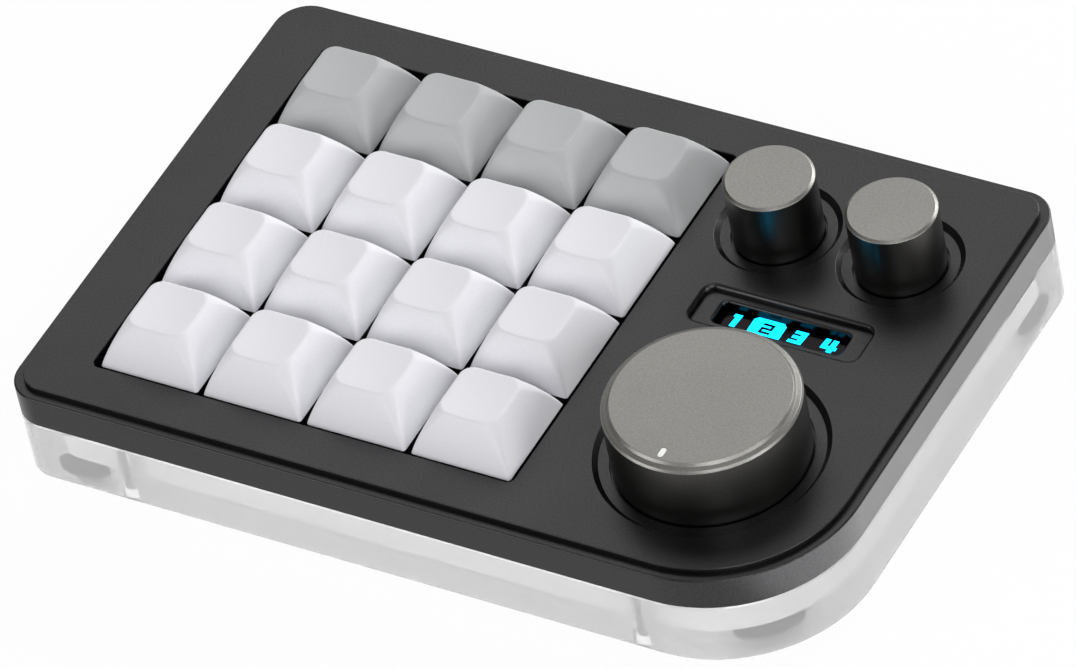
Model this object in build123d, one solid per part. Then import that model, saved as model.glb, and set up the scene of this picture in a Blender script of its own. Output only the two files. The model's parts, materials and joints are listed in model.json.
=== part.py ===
from build123d import *
import os

# Macro keypad: a machined aluminium top shell on a clear acrylic base, sixteen
# keys in a square grid, one large and two small rotary knobs and a small display.
#
# Frame: millimetres, +Z up, +X to the user's right, +Y away from the user.
# The origin is the middle of the case outline on the surface it stands on.

# ---- Case ------------------------------------------------------------------
BORDER_LEFT = 11.75          # case side to the key opening
BORDER_FRONT_BACK = 9.35     # case front, or rear, to the key opening
BAY_LENGTH = 53.65           # key opening to the case's right side
CORNER_RADIUS = 5.8          # three of the four upright corners
THUMB_CORNER_RADIUS = 24.6   # front right corner, swept round the large knob
CASE_WALL = 7.0              # upright walls of shell and base
CUTTER_RADIUS = 3.0          # smallest inside corner left by the end mill

FOOT_STAND = 2.0             # feet below the base
FOOT_SEAT_DEPTH = 0.5        # feet let into the base
FOOT_RADIUS = 4.5
FOOT_SEAT_CLEARANCE = 0.1
FOOT_FROM_SIDE = 9.5         # foot centre to the case side
THUMB_FOOT_FROM_SIDE = 15.5  # the same, under the swept corner
FOOT_EDGE_CHAMFER = 0.4

BASE_HEIGHT = 12.0
BASE_FLOOR = 3.0
BASE_EDGE_CHAMFER = 0.35
BASE_TOP_CHAMFER = 0.4
PILLAR_RADIUS = 2.0          # pillars that carry the circuit board

SHELL_HEIGHT = 6.0           # side wall of the top shell
PLATEAU_RISE = 1.0           # raised field inside the rim
RIM_WIDTH = 1.7
RIM_EDGE_RADIUS = 0.3
PANEL_THICKNESS = 3.0        # top of the knob bay
BAY_RIB = 4.0                # wall between the keys and the knob bay

# ---- Keys ------------------------------------------------------------------
KEY_ROWS = 4
KEY_COLUMNS = 4
KEY_PITCH = 19.05
KEY_FIELD_CLEARANCE = 0.5    # opening beyond the outer key cells
KEY_FIELD_CORNER = 1.2

KEYCAP_GAP = 1.05            # between neighbouring keycaps
KEYCAP_TOP = 10.6
KEYCAP_HEIGHT = 7.6
KEYCAP_SKIRT_BELOW_PANEL = 0.95
KEYCAP_WALL = 1.2
KEYCAP_ROOF = 2.2
KEYCAP_BASE_CORNER = 0.5
KEYCAP_MIDDLE_CORNER = 1.0
KEYCAP_TOP_CORNER = 2.4
KEYCAP_BULGE = 0.25          # outward bow of the side at half height
KEYCAP_INSIDE_TOP = 10.8
KEYCAP_INSIDE_CORNER = 0.8
KEYCAP_INSIDE_BEND = 3.6     # where the inside starts to follow the bow, above the skirt
DISH_RADIUS = 38.0
DISH_DEPTH = 0.48
KEYCAP_POST_RADIUS = 2.75
POST_ABOVE_STEM_SHOULDER = 0.1
CROSS_FIT = 0.05             # all round the cross in its slot

KEY_TRAVEL = 4.0
CROSS_LENGTH = 4.0
CROSS_THICKNESS = 1.25
CROSS_HEIGHT = 3.6

# ---- Key switches ----------------------------------------------------------
SWITCH_HOLE = 14.0
SWITCH_HOLE_CLEARANCE = 0.05
PLATE_THICKNESS = 1.5
PLATE_TO_BOARD = 5.0         # plate top to board top
PLATE_MARGIN_SIDE = 4.0
PLATE_MARGIN_ENDS = 1.9
SWITCH_FLANGE_REACH = 0.8    # flange beyond the hole
SWITCH_FLANGE_HEIGHT = 1.0
SWITCH_TOP_ABOVE_PLATE = 6.6
SWITCH_TOP_TAPER = 1.7       # each side, from the flange to the top
SWITCH_WALL = 1.1
SWITCH_FLOOR = 1.5
SWITCH_ROOF = 1.0
SLIDER_LENGTH = 7.0
SLIDER_WIDTH = 5.6
SLIDER_CLEARANCE = 0.2       # slider in the switch's top opening
SHOULDER_LENGTH = 9.2
SHOULDER_GAP = 0.2           # shoulder below the roof at rest
SLIDER_BOTTOM_GAP = 0.1      # left when the key is fully down
CENTRE_POST_RADIUS = 1.95
CENTRE_POST_LENGTH = 3.1     # below the board's top
POST_HOLE_CLEARANCE = 0.1
STEM_PIN_RADIUS = 0.95
STEM_PIN_FIT = 0.1
STEM_PIN_ABOVE_FLOOR = 0.6   # the pin's tip at rest, above the switch's floor
STEM_PIN_BORE_DEPTH = 3.7    # the bore below the switch's floor
SPRING_WELL_RADIUS = 2.35
SPRING_WELL_ROOF = 2.6
SPRING_WIRE_RADIUS = 0.15
SPRING_COIL_RADIUS = 1.75
SPRING_TURNS = 5
CONTACT_PIN_RADIUS = 0.6
CONTACT_PIN_CLEARANCE = 0.1
CONTACT_PIN_OFFSETS = ((-3.81, 2.54), (2.54, 5.08))
SOCKET_LENGTH = 5.6
SOCKET_WIDTH = 4.5
SOCKET_HEIGHT = 1.85
SOCKET_FLOOR = 0.3

# ---- Circuit board ---------------------------------------------------------
BOARD_THICKNESS = 1.6
BOARD_EDGE_GAP = 0.6
CONTROLLER_SIZE = 7.0
CONTROLLER_HEIGHT = 0.9
MEMORY_SIZE = 5.0
MEMORY_HEIGHT = 1.5
CRYSTAL_LENGTH = 3.2
CRYSTAL_WIDTH = 2.5
CRYSTAL_HEIGHT = 0.8
CHIP_SPACING = 9.0
CHIPS_FROM_RIB = 7.0
CHIPS_FROM_WALL = 8.0        # chips' middle behind the base's front wall

# ---- USB-C inlet -----------------------------------------------------------
PORT_FROM_MIDDLE = 0.0       # along the rear wall
PORT_WIDTH = 8.94
PORT_HEIGHT = 3.2
PORT_DEPTH = 7.3
PORT_WALL = 0.35
PORT_BACK_WALL = 1.2
PORT_TONGUE_WIDTH = 6.69
PORT_TONGUE_HEIGHT = 0.7
PORT_TONGUE_SETBACK = 0.6
PORT_INSET = 0.6             # mouth behind the base's rear face
PORT_OPENING_CLEARANCE = 0.25
NOTCH_WALL = 1.5             # left of the rear wall behind the port
NOTCH_CLEARANCE = 1.6        # each side of the board's tab
BOARD_TAB_MARGIN = 1.0       # board each side of the port
BOARD_TAB_LENGTH = 16.0      # along Y, from under the port into the board

# ---- Knobs -----------------------------------------------------------------
KNOB_PUSH_TRAVEL = 0.5
KNOB_RING_GAP = 0.3          # knob to the edge of its pocket
KNOB_SINK = 0.05             # knob's lower edge below the recess floor
RECESS_DEPTH = 0.9
RECESS_SLOPE_WIDTH = 0.9     # the recess walls slope at 45 degrees
POCKET_SPARE = 0.25          # left below the knob when it is fully down
KNOB_BORE_FIT = 0.02
KNOB_ROOF = 3.0              # metal above the shaft's end

MAIN_KNOB_RADIUS = 16.0
MAIN_KNOB_SHOULDER = 11.5    # lower edge to the shoulder
MAIN_KNOB_DISC_INSET = 1.5   # raised disc inside the knob's side
MAIN_KNOB_BEVEL_INSET = 1.0
MAIN_KNOB_BEVEL_DROP = 0.55
MAIN_KNOB_LIP_INSET = 0.25
MAIN_KNOB_LIP_DROP = 0.9
MAIN_KNOB_DISC_RISE = 1.2    # disc above the shoulder
MAIN_KNOB_SKIRT = 2.2
MAIN_KNOB_HUB_RADIUS = 5.5
MAIN_KNOB_WEB = 4.0
MAIN_RECESS_MARGIN = 3.0     # recess beyond the knob
MAIN_KNOB_FROM_RIGHT = 27.2
MAIN_KNOB_FROM_FRONT = 26.95

POINTER_LENGTH = 2.0
POINTER_WIDTH = 1.0
POINTER_DEPTH = 0.6
POINTER_INSET = 3.0          # middle of the mark inside the knob's side
POINTER_FIT = 0.02

SMALL_KNOB_RADIUS = 7.5
SMALL_KNOB_SHOULDER = 11.95
SMALL_KNOB_CHAMFER_WIDTH = 0.5
SMALL_KNOB_CHAMFER_RISE = 0.35
SMALL_RECESS_MARGIN = 2.9
SMALL_KNOB_SPACING = 22.0
SMALL_KNOBS_FROM_RIGHT = 28.95
SMALL_KNOBS_FROM_BACK = 21.75

# ---- Rotary encoders -------------------------------------------------------
ENCODER_SIZE = 12.0
ENCODER_HEIGHT = 7.0
ENCODER_FLOOR = 1.0
ENCODER_CAVITY_GAP = 0.5     # round the shaft's flange
ENCODER_CAVITY_HEIGHT = 2.6
BUSH_WALL = 0.45
BUSH_HEIGHT = 3.0
BUSH_HOLE_CLEARANCE = 0.2
SHAFT_RADIUS = 3.0
SHAFT_FIT = 0.05
SHAFT_FLAT = 1.5             # flat's distance from the axis
SHAFT_FLANGE_REACH = 1.2
PLUNGER_HEIGHT = 0.9
PLUNGER_PIN_RADIUS = 1.0
PLUNGER_PIN_HEIGHT = 1.2
PLUNGER_SPARE = 0.2          # left below the plunger when it is fully down
FLANGE_GAP = 0.1             # between the shaft's flange and the cavity's roof

# ---- Display ---------------------------------------------------------------
DISPLAY_FROM_RIGHT = 29.7
DISPLAY_FROM_BACK = 40.65
DISPLAY_RECESS_LENGTH = 30.9
DISPLAY_RECESS_WIDTH = 8.4
DISPLAY_RECESS_CORNER = 2.0
DISPLAY_RECESS_DEPTH = 1.1   # its walls slope at 45 degrees too
WINDOW_LENGTH = 23.2
WINDOW_WIDTH = 4.6
WINDOW_CORNER = 1.0
WINDOW_SLOPE_WIDTH = 0.4
WINDOW_LIP = 1.7             # metal over the display glass
GLASS_LENGTH = 30.0
GLASS_WIDTH = 11.5
GLASS_THICKNESS = 1.45
DISPLAY_BOARD_LENGTH = 38.0
DISPLAY_BOARD_WIDTH = 12.0
DISPLAY_BOARD_THICKNESS = 1.0
DISPLAY_POCKET_CLEARANCE = 0.3
HEADER_PINS = 4
HEADER_PITCH = 2.54
HEADER_WIDTH = 2.5
HEADER_HEIGHT = 2.5
HEADER_PIN_RADIUS = 0.32
HEADER_FROM_END = 1.8

# ---- Fasteners -------------------------------------------------------------
SCREW_RADIUS = 1.0
SCREW_HOLE_CLEARANCE = 0.15
SCREW_THREAD_FIT = 0.02
SCREW_HEAD_REACH = 0.9       # head beyond the shank
SCREW_HEAD_HEIGHT = 1.4
SCREW_SOCKET_RADIUS = 0.85
SCREW_SOCKET_DEPTH = 0.8
COUNTERBORE_CLEARANCE = 0.4
COUNTERBORE_DEPTH = 2.8
CASE_SCREW_FROM_SIDE = 3.8
CASE_SCREW_LEFT = 19.9       # from the case's left side
CASE_SCREW_RIGHT = 29.1      # from the case's right side
CASE_SCREW_GRIP = 3.6        # thread in the shell
PLATE_SCREW_GRIP = 3.0
PLATE_SCREW_END_INSET = 8.5  # end screws from the opening's ends
THREAD_RUNOUT = 0.4

# ---- Levels ----------------------------------------------------------------
BASE_Z = FOOT_STAND
JOINT_Z = BASE_Z + BASE_HEIGHT                       # shell meets base
RIM_Z = JOINT_Z + SHELL_HEIGHT
PANEL_Z = RIM_Z + PLATEAU_RISE
CAVITY_Z = BASE_Z + BASE_FLOOR
PLATE_TOP_Z = JOINT_Z
PLATE_BOTTOM_Z = PLATE_TOP_Z - PLATE_THICKNESS
BOARD_TOP_Z = PLATE_TOP_Z - PLATE_TO_BOARD
BOARD_BOTTOM_Z = BOARD_TOP_Z - BOARD_THICKNESS
SKIRT_Z = PANEL_Z - KEYCAP_SKIRT_BELOW_PANEL
SWITCH_TOP_Z = PLATE_TOP_Z + SWITCH_TOP_ABOVE_PLATE
FLANGE_TOP_Z = PLATE_TOP_Z + SWITCH_FLANGE_HEIGHT
SWITCH_FLOOR_Z = BOARD_TOP_Z + SWITCH_FLOOR
SLIDER_BOTTOM_Z = SWITCH_FLOOR_Z + KEY_TRAVEL + SLIDER_BOTTOM_GAP
RECESS_Z = PANEL_Z - RECESS_DEPTH
KNOB_Z = RECESS_Z - KNOB_SINK
POCKET_Z = KNOB_Z - KNOB_PUSH_TRAVEL - POCKET_SPARE
DISPLAY_RECESS_Z = PANEL_Z - DISPLAY_RECESS_DEPTH
GLASS_TOP_Z = DISPLAY_RECESS_Z - WINDOW_LIP
GLASS_BOTTOM_Z = GLASS_TOP_Z - GLASS_THICKNESS
DISPLAY_BOARD_BOTTOM_Z = GLASS_BOTTOM_Z - DISPLAY_BOARD_THICKNESS
ENCODER_TOP_Z = BOARD_TOP_Z + ENCODER_HEIGHT
ENCODER_CAVITY_Z = BOARD_TOP_Z + ENCODER_FLOOR
PLUNGER_Z = ENCODER_CAVITY_Z + KNOB_PUSH_TRAVEL + PLUNGER_SPARE
SHAFT_Z = PLUNGER_Z + PLUNGER_HEIGHT

# ---- Sizes that follow from those above ------------------------------------
KEY_FIELD_LENGTH = KEY_COLUMNS * KEY_PITCH + 2 * KEY_FIELD_CLEARANCE
KEY_FIELD_WIDTH = KEY_ROWS * KEY_PITCH + 2 * KEY_FIELD_CLEARANCE
CASE_LENGTH = BORDER_LEFT + KEY_FIELD_LENGTH + BAY_LENGTH
CASE_WIDTH = KEY_FIELD_WIDTH + 2 * BORDER_FRONT_BACK
KEYCAP_BASE = KEY_PITCH - KEYCAP_GAP
MAIN_RECESS_RADIUS = MAIN_KNOB_RADIUS + MAIN_RECESS_MARGIN
SMALL_RECESS_RADIUS = SMALL_KNOB_RADIUS + SMALL_RECESS_MARGIN
BUSH_BORE_RADIUS = SHAFT_RADIUS + SHAFT_FIT
BUSH_RADIUS = BUSH_BORE_RADIUS + BUSH_WALL
SHAFT_FLANGE_RADIUS = SHAFT_RADIUS + SHAFT_FLANGE_REACH
SCREW_HEAD_RADIUS = SCREW_RADIUS + SCREW_HEAD_REACH
COUNTERBORE_RADIUS = SCREW_HEAD_RADIUS + COUNTERBORE_CLEARANCE
MAIN_KNOB_TOP_Z = KNOB_Z + MAIN_KNOB_SHOULDER + MAIN_KNOB_DISC_RISE
SMALL_KNOB_TOP_Z = KNOB_Z + SMALL_KNOB_SHOULDER + SMALL_KNOB_CHAMFER_RISE

# ---- Places ----------------------------------------------------------------
LEFT_X = -CASE_LENGTH / 2
RIGHT_X = CASE_LENGTH / 2
FRONT_Y = -CASE_WIDTH / 2
BACK_Y = CASE_WIDTH / 2
KEY_FIELD_X = LEFT_X + BORDER_LEFT + KEY_FIELD_LENGTH / 2
KEY_FIELD_RIGHT_X = KEY_FIELD_X + KEY_FIELD_LENGTH / 2
BAY_LEFT_X = KEY_FIELD_RIGHT_X + BAY_RIB
MAIN_KNOB_AT = (RIGHT_X - MAIN_KNOB_FROM_RIGHT, FRONT_Y + MAIN_KNOB_FROM_FRONT)
SMALL_KNOBS_X = RIGHT_X - SMALL_KNOBS_FROM_RIGHT
SMALL_KNOBS_Y = BACK_Y - SMALL_KNOBS_FROM_BACK
LEFT_KNOB_AT = (SMALL_KNOBS_X - SMALL_KNOB_SPACING / 2, SMALL_KNOBS_Y)
RIGHT_KNOB_AT = (SMALL_KNOBS_X + SMALL_KNOB_SPACING / 2, SMALL_KNOBS_Y)
DISPLAY_AT = (RIGHT_X - DISPLAY_FROM_RIGHT, BACK_Y - DISPLAY_FROM_BACK)
PORT_X = PORT_FROM_MIDDLE
PORT_MOUTH_Y = BACK_Y - PORT_INSET
THROUGH = 1.0                # how far a cutter runs past a face


def key_places():
    """Centre of each key, with its row counted from the back and column from the left."""
    places = []
    for row in range(KEY_ROWS):
        for column in range(KEY_COLUMNS):
            x = KEY_FIELD_X + (column - (KEY_COLUMNS - 1) / 2) * KEY_PITCH
            y = ((KEY_ROWS - 1) / 2 - row) * KEY_PITCH
            places.append((row + 1, column + 1, x, y))
    return places


def pillar_places():
    """Board pillars: four between the keys and two in the knob bay."""
    between_keys = [
        (KEY_FIELD_X + side * KEY_PITCH, end * KEY_PITCH) for side in (-1, 1) for end in (-1, 1)
    ]
    in_bay = [(MAIN_KNOB_AT[0], DISPLAY_AT[1]), (RIGHT_KNOB_AT[0], SMALL_KNOBS_Y)]
    return between_keys + in_bay


def foot_places():
    """Foot centres near the four corners, drawn in under the swept one."""
    x_left = LEFT_X + FOOT_FROM_SIDE
    x_right = RIGHT_X - FOOT_FROM_SIDE
    y_front = FRONT_Y + FOOT_FROM_SIDE
    y_back = BACK_Y - FOOT_FROM_SIDE
    swept = (RIGHT_X - THUMB_FOOT_FROM_SIDE, FRONT_Y + THUMB_FOOT_FROM_SIDE)
    return [(x_left, y_front), (x_left, y_back), (x_right, y_back), swept]


def case_screw_places():
    """Screws through the base's front and rear walls into the shell."""
    xs = (LEFT_X + CASE_SCREW_LEFT, RIGHT_X - CASE_SCREW_RIGHT)
    ys = (FRONT_Y + CASE_SCREW_FROM_SIDE, BACK_Y - CASE_SCREW_FROM_SIDE)
    return [(x, y) for x in xs for y in ys]


def plate_screw_places():
    """Screws through the plate's side margins into the shell."""
    left = LEFT_X + BORDER_LEFT - PLATE_MARGIN_SIDE / 2
    right = KEY_FIELD_RIGHT_X + PLATE_MARGIN_SIDE / 2
    end = KEY_FIELD_WIDTH / 2 - PLATE_SCREW_END_INSET
    return [(x, y) for x in (left, right) for y in (-end, 0, end)]


def rod(radius, z_low, z_high, at=(0, 0)):
    """Upright cylinder between two levels."""
    height = z_high - z_low
    return Pos(at[0], at[1], z_low + height / 2) * Cylinder(radius, height)


def block(length, width, z_low, z_high, at=(0, 0)):
    """Upright box between two levels."""
    height = z_high - z_low
    return Pos(at[0], at[1], z_low + height / 2) * Box(length, width, height)


def rounded_block(length, width, corner, z_low, z_high, at=(0, 0)):
    """Upright box with rounded upright edges."""
    outline = RectangleRounded(length, width, corner)
    return Pos(at[0], at[1], z_low) * extrude(outline, z_high - z_low)


def case_outline(inset, smallest_corner=0.0):
    """Case outline drawn in by inset, with concentric corners."""
    length = CASE_LENGTH - 2 * inset
    width = CASE_WIDTH - 2 * inset
    outline = Rectangle(length, width)
    corner = max(CORNER_RADIUS - inset, smallest_corner)
    swept = max(THUMB_CORNER_RADIUS - inset, smallest_corner)
    for x, y, radius in (
        (-length / 2, -width / 2, corner),
        (-length / 2, width / 2, corner),
        (length / 2, width / 2, corner),
        (length / 2, -width / 2, swept),
    ):
        nearest = outline.vertices().sort_by_distance((x, y, 0))[0]
        outline = fillet(nearest, radius)
    return outline


def prism(outline, z_low, z_high):
    """Outline extruded between two levels."""
    return Pos(0, 0, z_low) * extrude(outline, z_high - z_low)


def sloped_recess(length, width, corner, slope, z_low, z_high):
    """Rounded recess cutter that narrows by slope on every side towards its floor."""
    top = Pos(0, 0, z_high) * RectangleRounded(length, width, corner)
    floor_size = (length - 2 * slope, width - 2 * slope)
    floor = Pos(0, 0, z_low) * RectangleRounded(*floor_size, max(corner - slope, slope / 2))
    return loft([floor, top])


def round_recess(radius, at):
    """Cutter for a knob's sloped recess."""
    cone = Cone(radius - RECESS_SLOPE_WIDTH, radius, RECESS_DEPTH)
    return Pos(at[0], at[1], RECESS_Z + RECESS_DEPTH / 2) * cone


def screw(at, z_seat, length):
    """Socket-head screw with its head's underside at z_seat and its shank upwards."""
    head = rod(SCREW_HEAD_RADIUS, z_seat - SCREW_HEAD_HEIGHT, z_seat, at)
    shank = rod(SCREW_RADIUS, z_seat, z_seat + length, at)
    socket_z = z_seat - SCREW_HEAD_HEIGHT
    hexagon = Pos(at[0], at[1], socket_z) * RegularPolygon(SCREW_SOCKET_RADIUS, 6)
    return head + shank - extrude(hexagon, SCREW_SOCKET_DEPTH)


# ---- Case pieces -----------------------------------------------------------
def top_shell():
    """Machined shell: rim, raised field, key opening and knob bay."""
    body = prism(case_outline(0), JOINT_Z, RIM_Z)
    body = fillet(body.edges().group_by(Axis.Z)[-1], RIM_EDGE_RADIUS)
    body += prism(case_outline(RIM_WIDTH), RIM_Z - PLATEAU_RISE, PANEL_Z)

    field_at = (KEY_FIELD_X, 0)
    opening_low_z = JOINT_Z - THROUGH
    opening_high_z = PANEL_Z + THROUGH
    body -= rounded_block(
        KEY_FIELD_LENGTH, KEY_FIELD_WIDTH, KEY_FIELD_CORNER, opening_low_z, opening_high_z, field_at
    )

    bay = case_outline(CASE_WALL, CUTTER_RADIUS)
    bay_length = RIGHT_X - BAY_LEFT_X
    bay &= Pos(BAY_LEFT_X + bay_length / 2, 0) * Rectangle(bay_length, CASE_WIDTH)
    body -= prism(bay, JOINT_Z - THROUGH, PANEL_Z - PANEL_THICKNESS)

    knobs = (
        (MAIN_KNOB_AT, MAIN_KNOB_RADIUS, MAIN_RECESS_RADIUS),
        (LEFT_KNOB_AT, SMALL_KNOB_RADIUS, SMALL_RECESS_RADIUS),
        (RIGHT_KNOB_AT, SMALL_KNOB_RADIUS, SMALL_RECESS_RADIUS),
    )
    for at, knob_radius, recess_radius in knobs:
        body -= round_recess(recess_radius, at)
        body -= rod(knob_radius + KNOB_RING_GAP, POCKET_Z, RECESS_Z + THROUGH / 2, at)
        body -= rod(BUSH_RADIUS + BUSH_HOLE_CLEARANCE, JOINT_Z, POCKET_Z + THROUGH / 2, at)

    place = Pos(DISPLAY_AT[0], DISPLAY_AT[1], 0)
    body -= place * sloped_recess(
        DISPLAY_RECESS_LENGTH,
        DISPLAY_RECESS_WIDTH,
        DISPLAY_RECESS_CORNER,
        DISPLAY_RECESS_DEPTH,
        DISPLAY_RECESS_Z,
        PANEL_Z,
    )
    window_floor_z = DISPLAY_RECESS_Z - WINDOW_SLOPE_WIDTH
    body -= place * sloped_recess(
        WINDOW_LENGTH,
        WINDOW_WIDTH,
        WINDOW_CORNER,
        WINDOW_SLOPE_WIDTH,
        window_floor_z,
        DISPLAY_RECESS_Z,
    )
    body -= rounded_block(
        WINDOW_LENGTH - 2 * WINDOW_SLOPE_WIDTH,
        WINDOW_WIDTH - 2 * WINDOW_SLOPE_WIDTH,
        WINDOW_CORNER - WINDOW_SLOPE_WIDTH,
        GLASS_TOP_Z - THROUGH,
        window_floor_z,
        DISPLAY_AT,
    )
    body -= block(
        DISPLAY_BOARD_LENGTH + 2 * DISPLAY_POCKET_CLEARANCE,
        DISPLAY_BOARD_WIDTH + 2 * DISPLAY_POCKET_CLEARANCE,
        JOINT_Z,
        GLASS_TOP_Z,
        DISPLAY_AT,
    )

    thread_radius = SCREW_RADIUS + SCREW_THREAD_FIT
    for places, grip in (
        (case_screw_places(), CASE_SCREW_GRIP),
        (plate_screw_places(), PLATE_SCREW_GRIP),
    ):
        for at in places:
            body -= rod(thread_radius, JOINT_Z - THROUGH, JOINT_Z + grip + THREAD_RUNOUT, at)
    return body


def base_shell():
    """Clear acrylic base: a pocket with board pillars, and the rear inlet."""
    body = prism(case_outline(0), BASE_Z, JOINT_Z)
    body = chamfer(body.edges().group_by(Axis.Z)[0], BASE_EDGE_CHAMFER)
    body = chamfer(body.edges().group_by(Axis.Z)[-1], BASE_TOP_CHAMFER)
    body -= prism(case_outline(CASE_WALL, CUTTER_RADIUS), CAVITY_Z, JOINT_Z + THROUGH)

    notch_length = PORT_WIDTH + 2 * (BOARD_TAB_MARGIN + NOTCH_CLEARANCE)
    notch_back_y = BACK_Y - NOTCH_WALL
    notch_front_y = BACK_Y - CASE_WALL - THROUGH
    notch_at = (PORT_X, (notch_back_y + notch_front_y) / 2)
    body -= block(notch_length, notch_back_y - notch_front_y, CAVITY_Z, JOINT_Z + THROUGH, notch_at)
    body -= port_prism(PORT_OPENING_CLEARANCE, notch_front_y, BACK_Y + THROUGH)

    for at in pillar_places():
        body += rod(PILLAR_RADIUS, CAVITY_Z - BASE_FLOOR / 2, BOARD_BOTTOM_Z, at)
    seat_radius = FOOT_RADIUS + FOOT_SEAT_CLEARANCE
    for at in foot_places():
        body -= rod(seat_radius, BASE_Z - THROUGH, BASE_Z + FOOT_SEAT_DEPTH, at)
    for at in case_screw_places():
        body -= rod(COUNTERBORE_RADIUS, BASE_Z - THROUGH, BASE_Z + COUNTERBORE_DEPTH, at)
        body -= rod(SCREW_RADIUS + SCREW_HOLE_CLEARANCE, BASE_Z, JOINT_Z + THROUGH, at)
    return body


def feet():
    """Four rubber feet let into the base."""
    pieces = []
    for at in foot_places():
        foot = rod(FOOT_RADIUS, 0, BASE_Z + FOOT_SEAT_DEPTH, at)
        pieces.append(chamfer(foot.edges().group_by(Axis.Z)[0], FOOT_EDGE_CHAMFER))
    return pieces


def case_screws():
    """Screws that hold the base to the shell."""
    seat_z = BASE_Z + COUNTERBORE_DEPTH
    length = JOINT_Z + CASE_SCREW_GRIP - seat_z
    return [screw(at, seat_z, length) for at in case_screw_places()]


def plate_screws():
    """Screws that hold the switch plate under the shell."""
    length = PLATE_THICKNESS + PLATE_SCREW_GRIP
    return [screw(at, PLATE_BOTTOM_Z, length) for at in plate_screw_places()]


# ---- Switch field ----------------------------------------------------------
def switch_plate():
    """Plate that the switches clip into."""
    length = KEY_FIELD_LENGTH + 2 * PLATE_MARGIN_SIDE
    width = KEY_FIELD_WIDTH + 2 * PLATE_MARGIN_ENDS
    body = rounded_block(
        length, width, CUTTER_RADIUS, PLATE_BOTTOM_Z, PLATE_TOP_Z, (KEY_FIELD_X, 0)
    )
    hole = SWITCH_HOLE + 2 * SWITCH_HOLE_CLEARANCE
    for _, _, x, y in key_places():
        body -= block(hole, hole, PLATE_BOTTOM_Z - THROUGH, PLATE_TOP_Z + THROUGH, (x, y))
    for at in plate_screw_places():
        clear_radius = SCREW_RADIUS + SCREW_HOLE_CLEARANCE
        body -= rod(clear_radius, PLATE_BOTTOM_Z - THROUGH, PLATE_TOP_Z + THROUGH, at)
    return body


def lower_housing(x, y):
    """Lower half of one switch, with its centre post and two contact pins."""
    at = (x, y)
    body = block(SWITCH_HOLE, SWITCH_HOLE, BOARD_TOP_Z, PLATE_TOP_Z, at)
    flange = SWITCH_HOLE + 2 * SWITCH_FLANGE_REACH
    body += block(flange, flange, PLATE_TOP_Z, FLANGE_TOP_Z, at)
    cavity = SWITCH_HOLE - 2 * SWITCH_WALL
    body -= block(cavity, cavity, SWITCH_FLOOR_Z, FLANGE_TOP_Z + THROUGH, at)
    body += rod(CENTRE_POST_RADIUS, BOARD_TOP_Z - CENTRE_POST_LENGTH, SWITCH_FLOOR_Z, at)
    bore_bottom_z = SWITCH_FLOOR_Z - STEM_PIN_BORE_DEPTH
    body -= rod(STEM_PIN_RADIUS + STEM_PIN_FIT, bore_bottom_z, SWITCH_FLOOR_Z + THROUGH, at)
    for dx, dy in CONTACT_PIN_OFFSETS:
        tip_z = BOARD_BOTTOM_Z - SOCKET_HEIGHT + SOCKET_FLOOR + CONTACT_PIN_CLEARANCE
        body += rod(CONTACT_PIN_RADIUS, tip_z, BOARD_TOP_Z + SWITCH_FLOOR / 2, (x + dx, y + dy))
    return body


def upper_housing(x, y):
    """Upper half of one switch: tapered sides and an opening for the slider."""
    top_size = SWITCH_HOLE - 2 * SWITCH_TOP_TAPER
    base = Pos(x, y, FLANGE_TOP_Z) * Rectangle(SWITCH_HOLE, SWITCH_HOLE)
    top = Pos(x, y, SWITCH_TOP_Z) * Rectangle(top_size, top_size)
    body = loft([base, top])
    roof_z = SWITCH_TOP_Z - SWITCH_ROOF
    inner_base = SWITCH_HOLE - 2 * SWITCH_WALL
    inner_top = top_size - SWITCH_WALL
    low = Pos(x, y, FLANGE_TOP_Z) * Rectangle(inner_base, inner_base)
    high = Pos(x, y, roof_z) * Rectangle(inner_top, inner_top)
    body -= loft([low, high])
    length = SLIDER_LENGTH + 2 * SLIDER_CLEARANCE
    width = SLIDER_WIDTH + 2 * SLIDER_CLEARANCE
    return body - block(length, width, roof_z - THROUGH, SWITCH_TOP_Z + THROUGH, (x, y))


def switch_stem(x, y):
    """Slider of one switch with the cross that carries the keycap."""
    at = (x, y)
    shoulder_top_z = SWITCH_TOP_Z - SWITCH_ROOF - SHOULDER_GAP
    body = block(SLIDER_LENGTH, SLIDER_WIDTH, SLIDER_BOTTOM_Z, SWITCH_TOP_Z, at)
    body += block(SHOULDER_LENGTH, SLIDER_WIDTH / 2, SLIDER_BOTTOM_Z, shoulder_top_z, at)
    body += block(CROSS_LENGTH, CROSS_THICKNESS, SWITCH_TOP_Z, SWITCH_TOP_Z + CROSS_HEIGHT, at)
    body += block(CROSS_THICKNESS, CROSS_LENGTH, SWITCH_TOP_Z, SWITCH_TOP_Z + CROSS_HEIGHT, at)
    well_top_z = SWITCH_TOP_Z - SPRING_WELL_ROOF
    body -= rod(SPRING_WELL_RADIUS, SLIDER_BOTTOM_Z - THROUGH, well_top_z, at)
    return body + rod(STEM_PIN_RADIUS, SWITCH_FLOOR_Z + STEM_PIN_ABOVE_FLOOR, well_top_z, at)


def switch_spring(x, y):
    """Coil spring between a switch's floor and its slider."""
    low_z = SWITCH_FLOOR_Z + SPRING_WIRE_RADIUS
    high_z = SWITCH_TOP_Z - SPRING_WELL_ROOF - SPRING_WIRE_RADIUS
    height = high_z - low_z
    path = Helix(height / SPRING_TURNS, height, SPRING_COIL_RADIUS)
    wire_end = Plane(origin=path @ 0, z_dir=path % 0)
    coil = sweep(wire_end * Circle(SPRING_WIRE_RADIUS), path, is_frenet=True)
    return Pos(x, y, low_z) * coil


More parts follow.
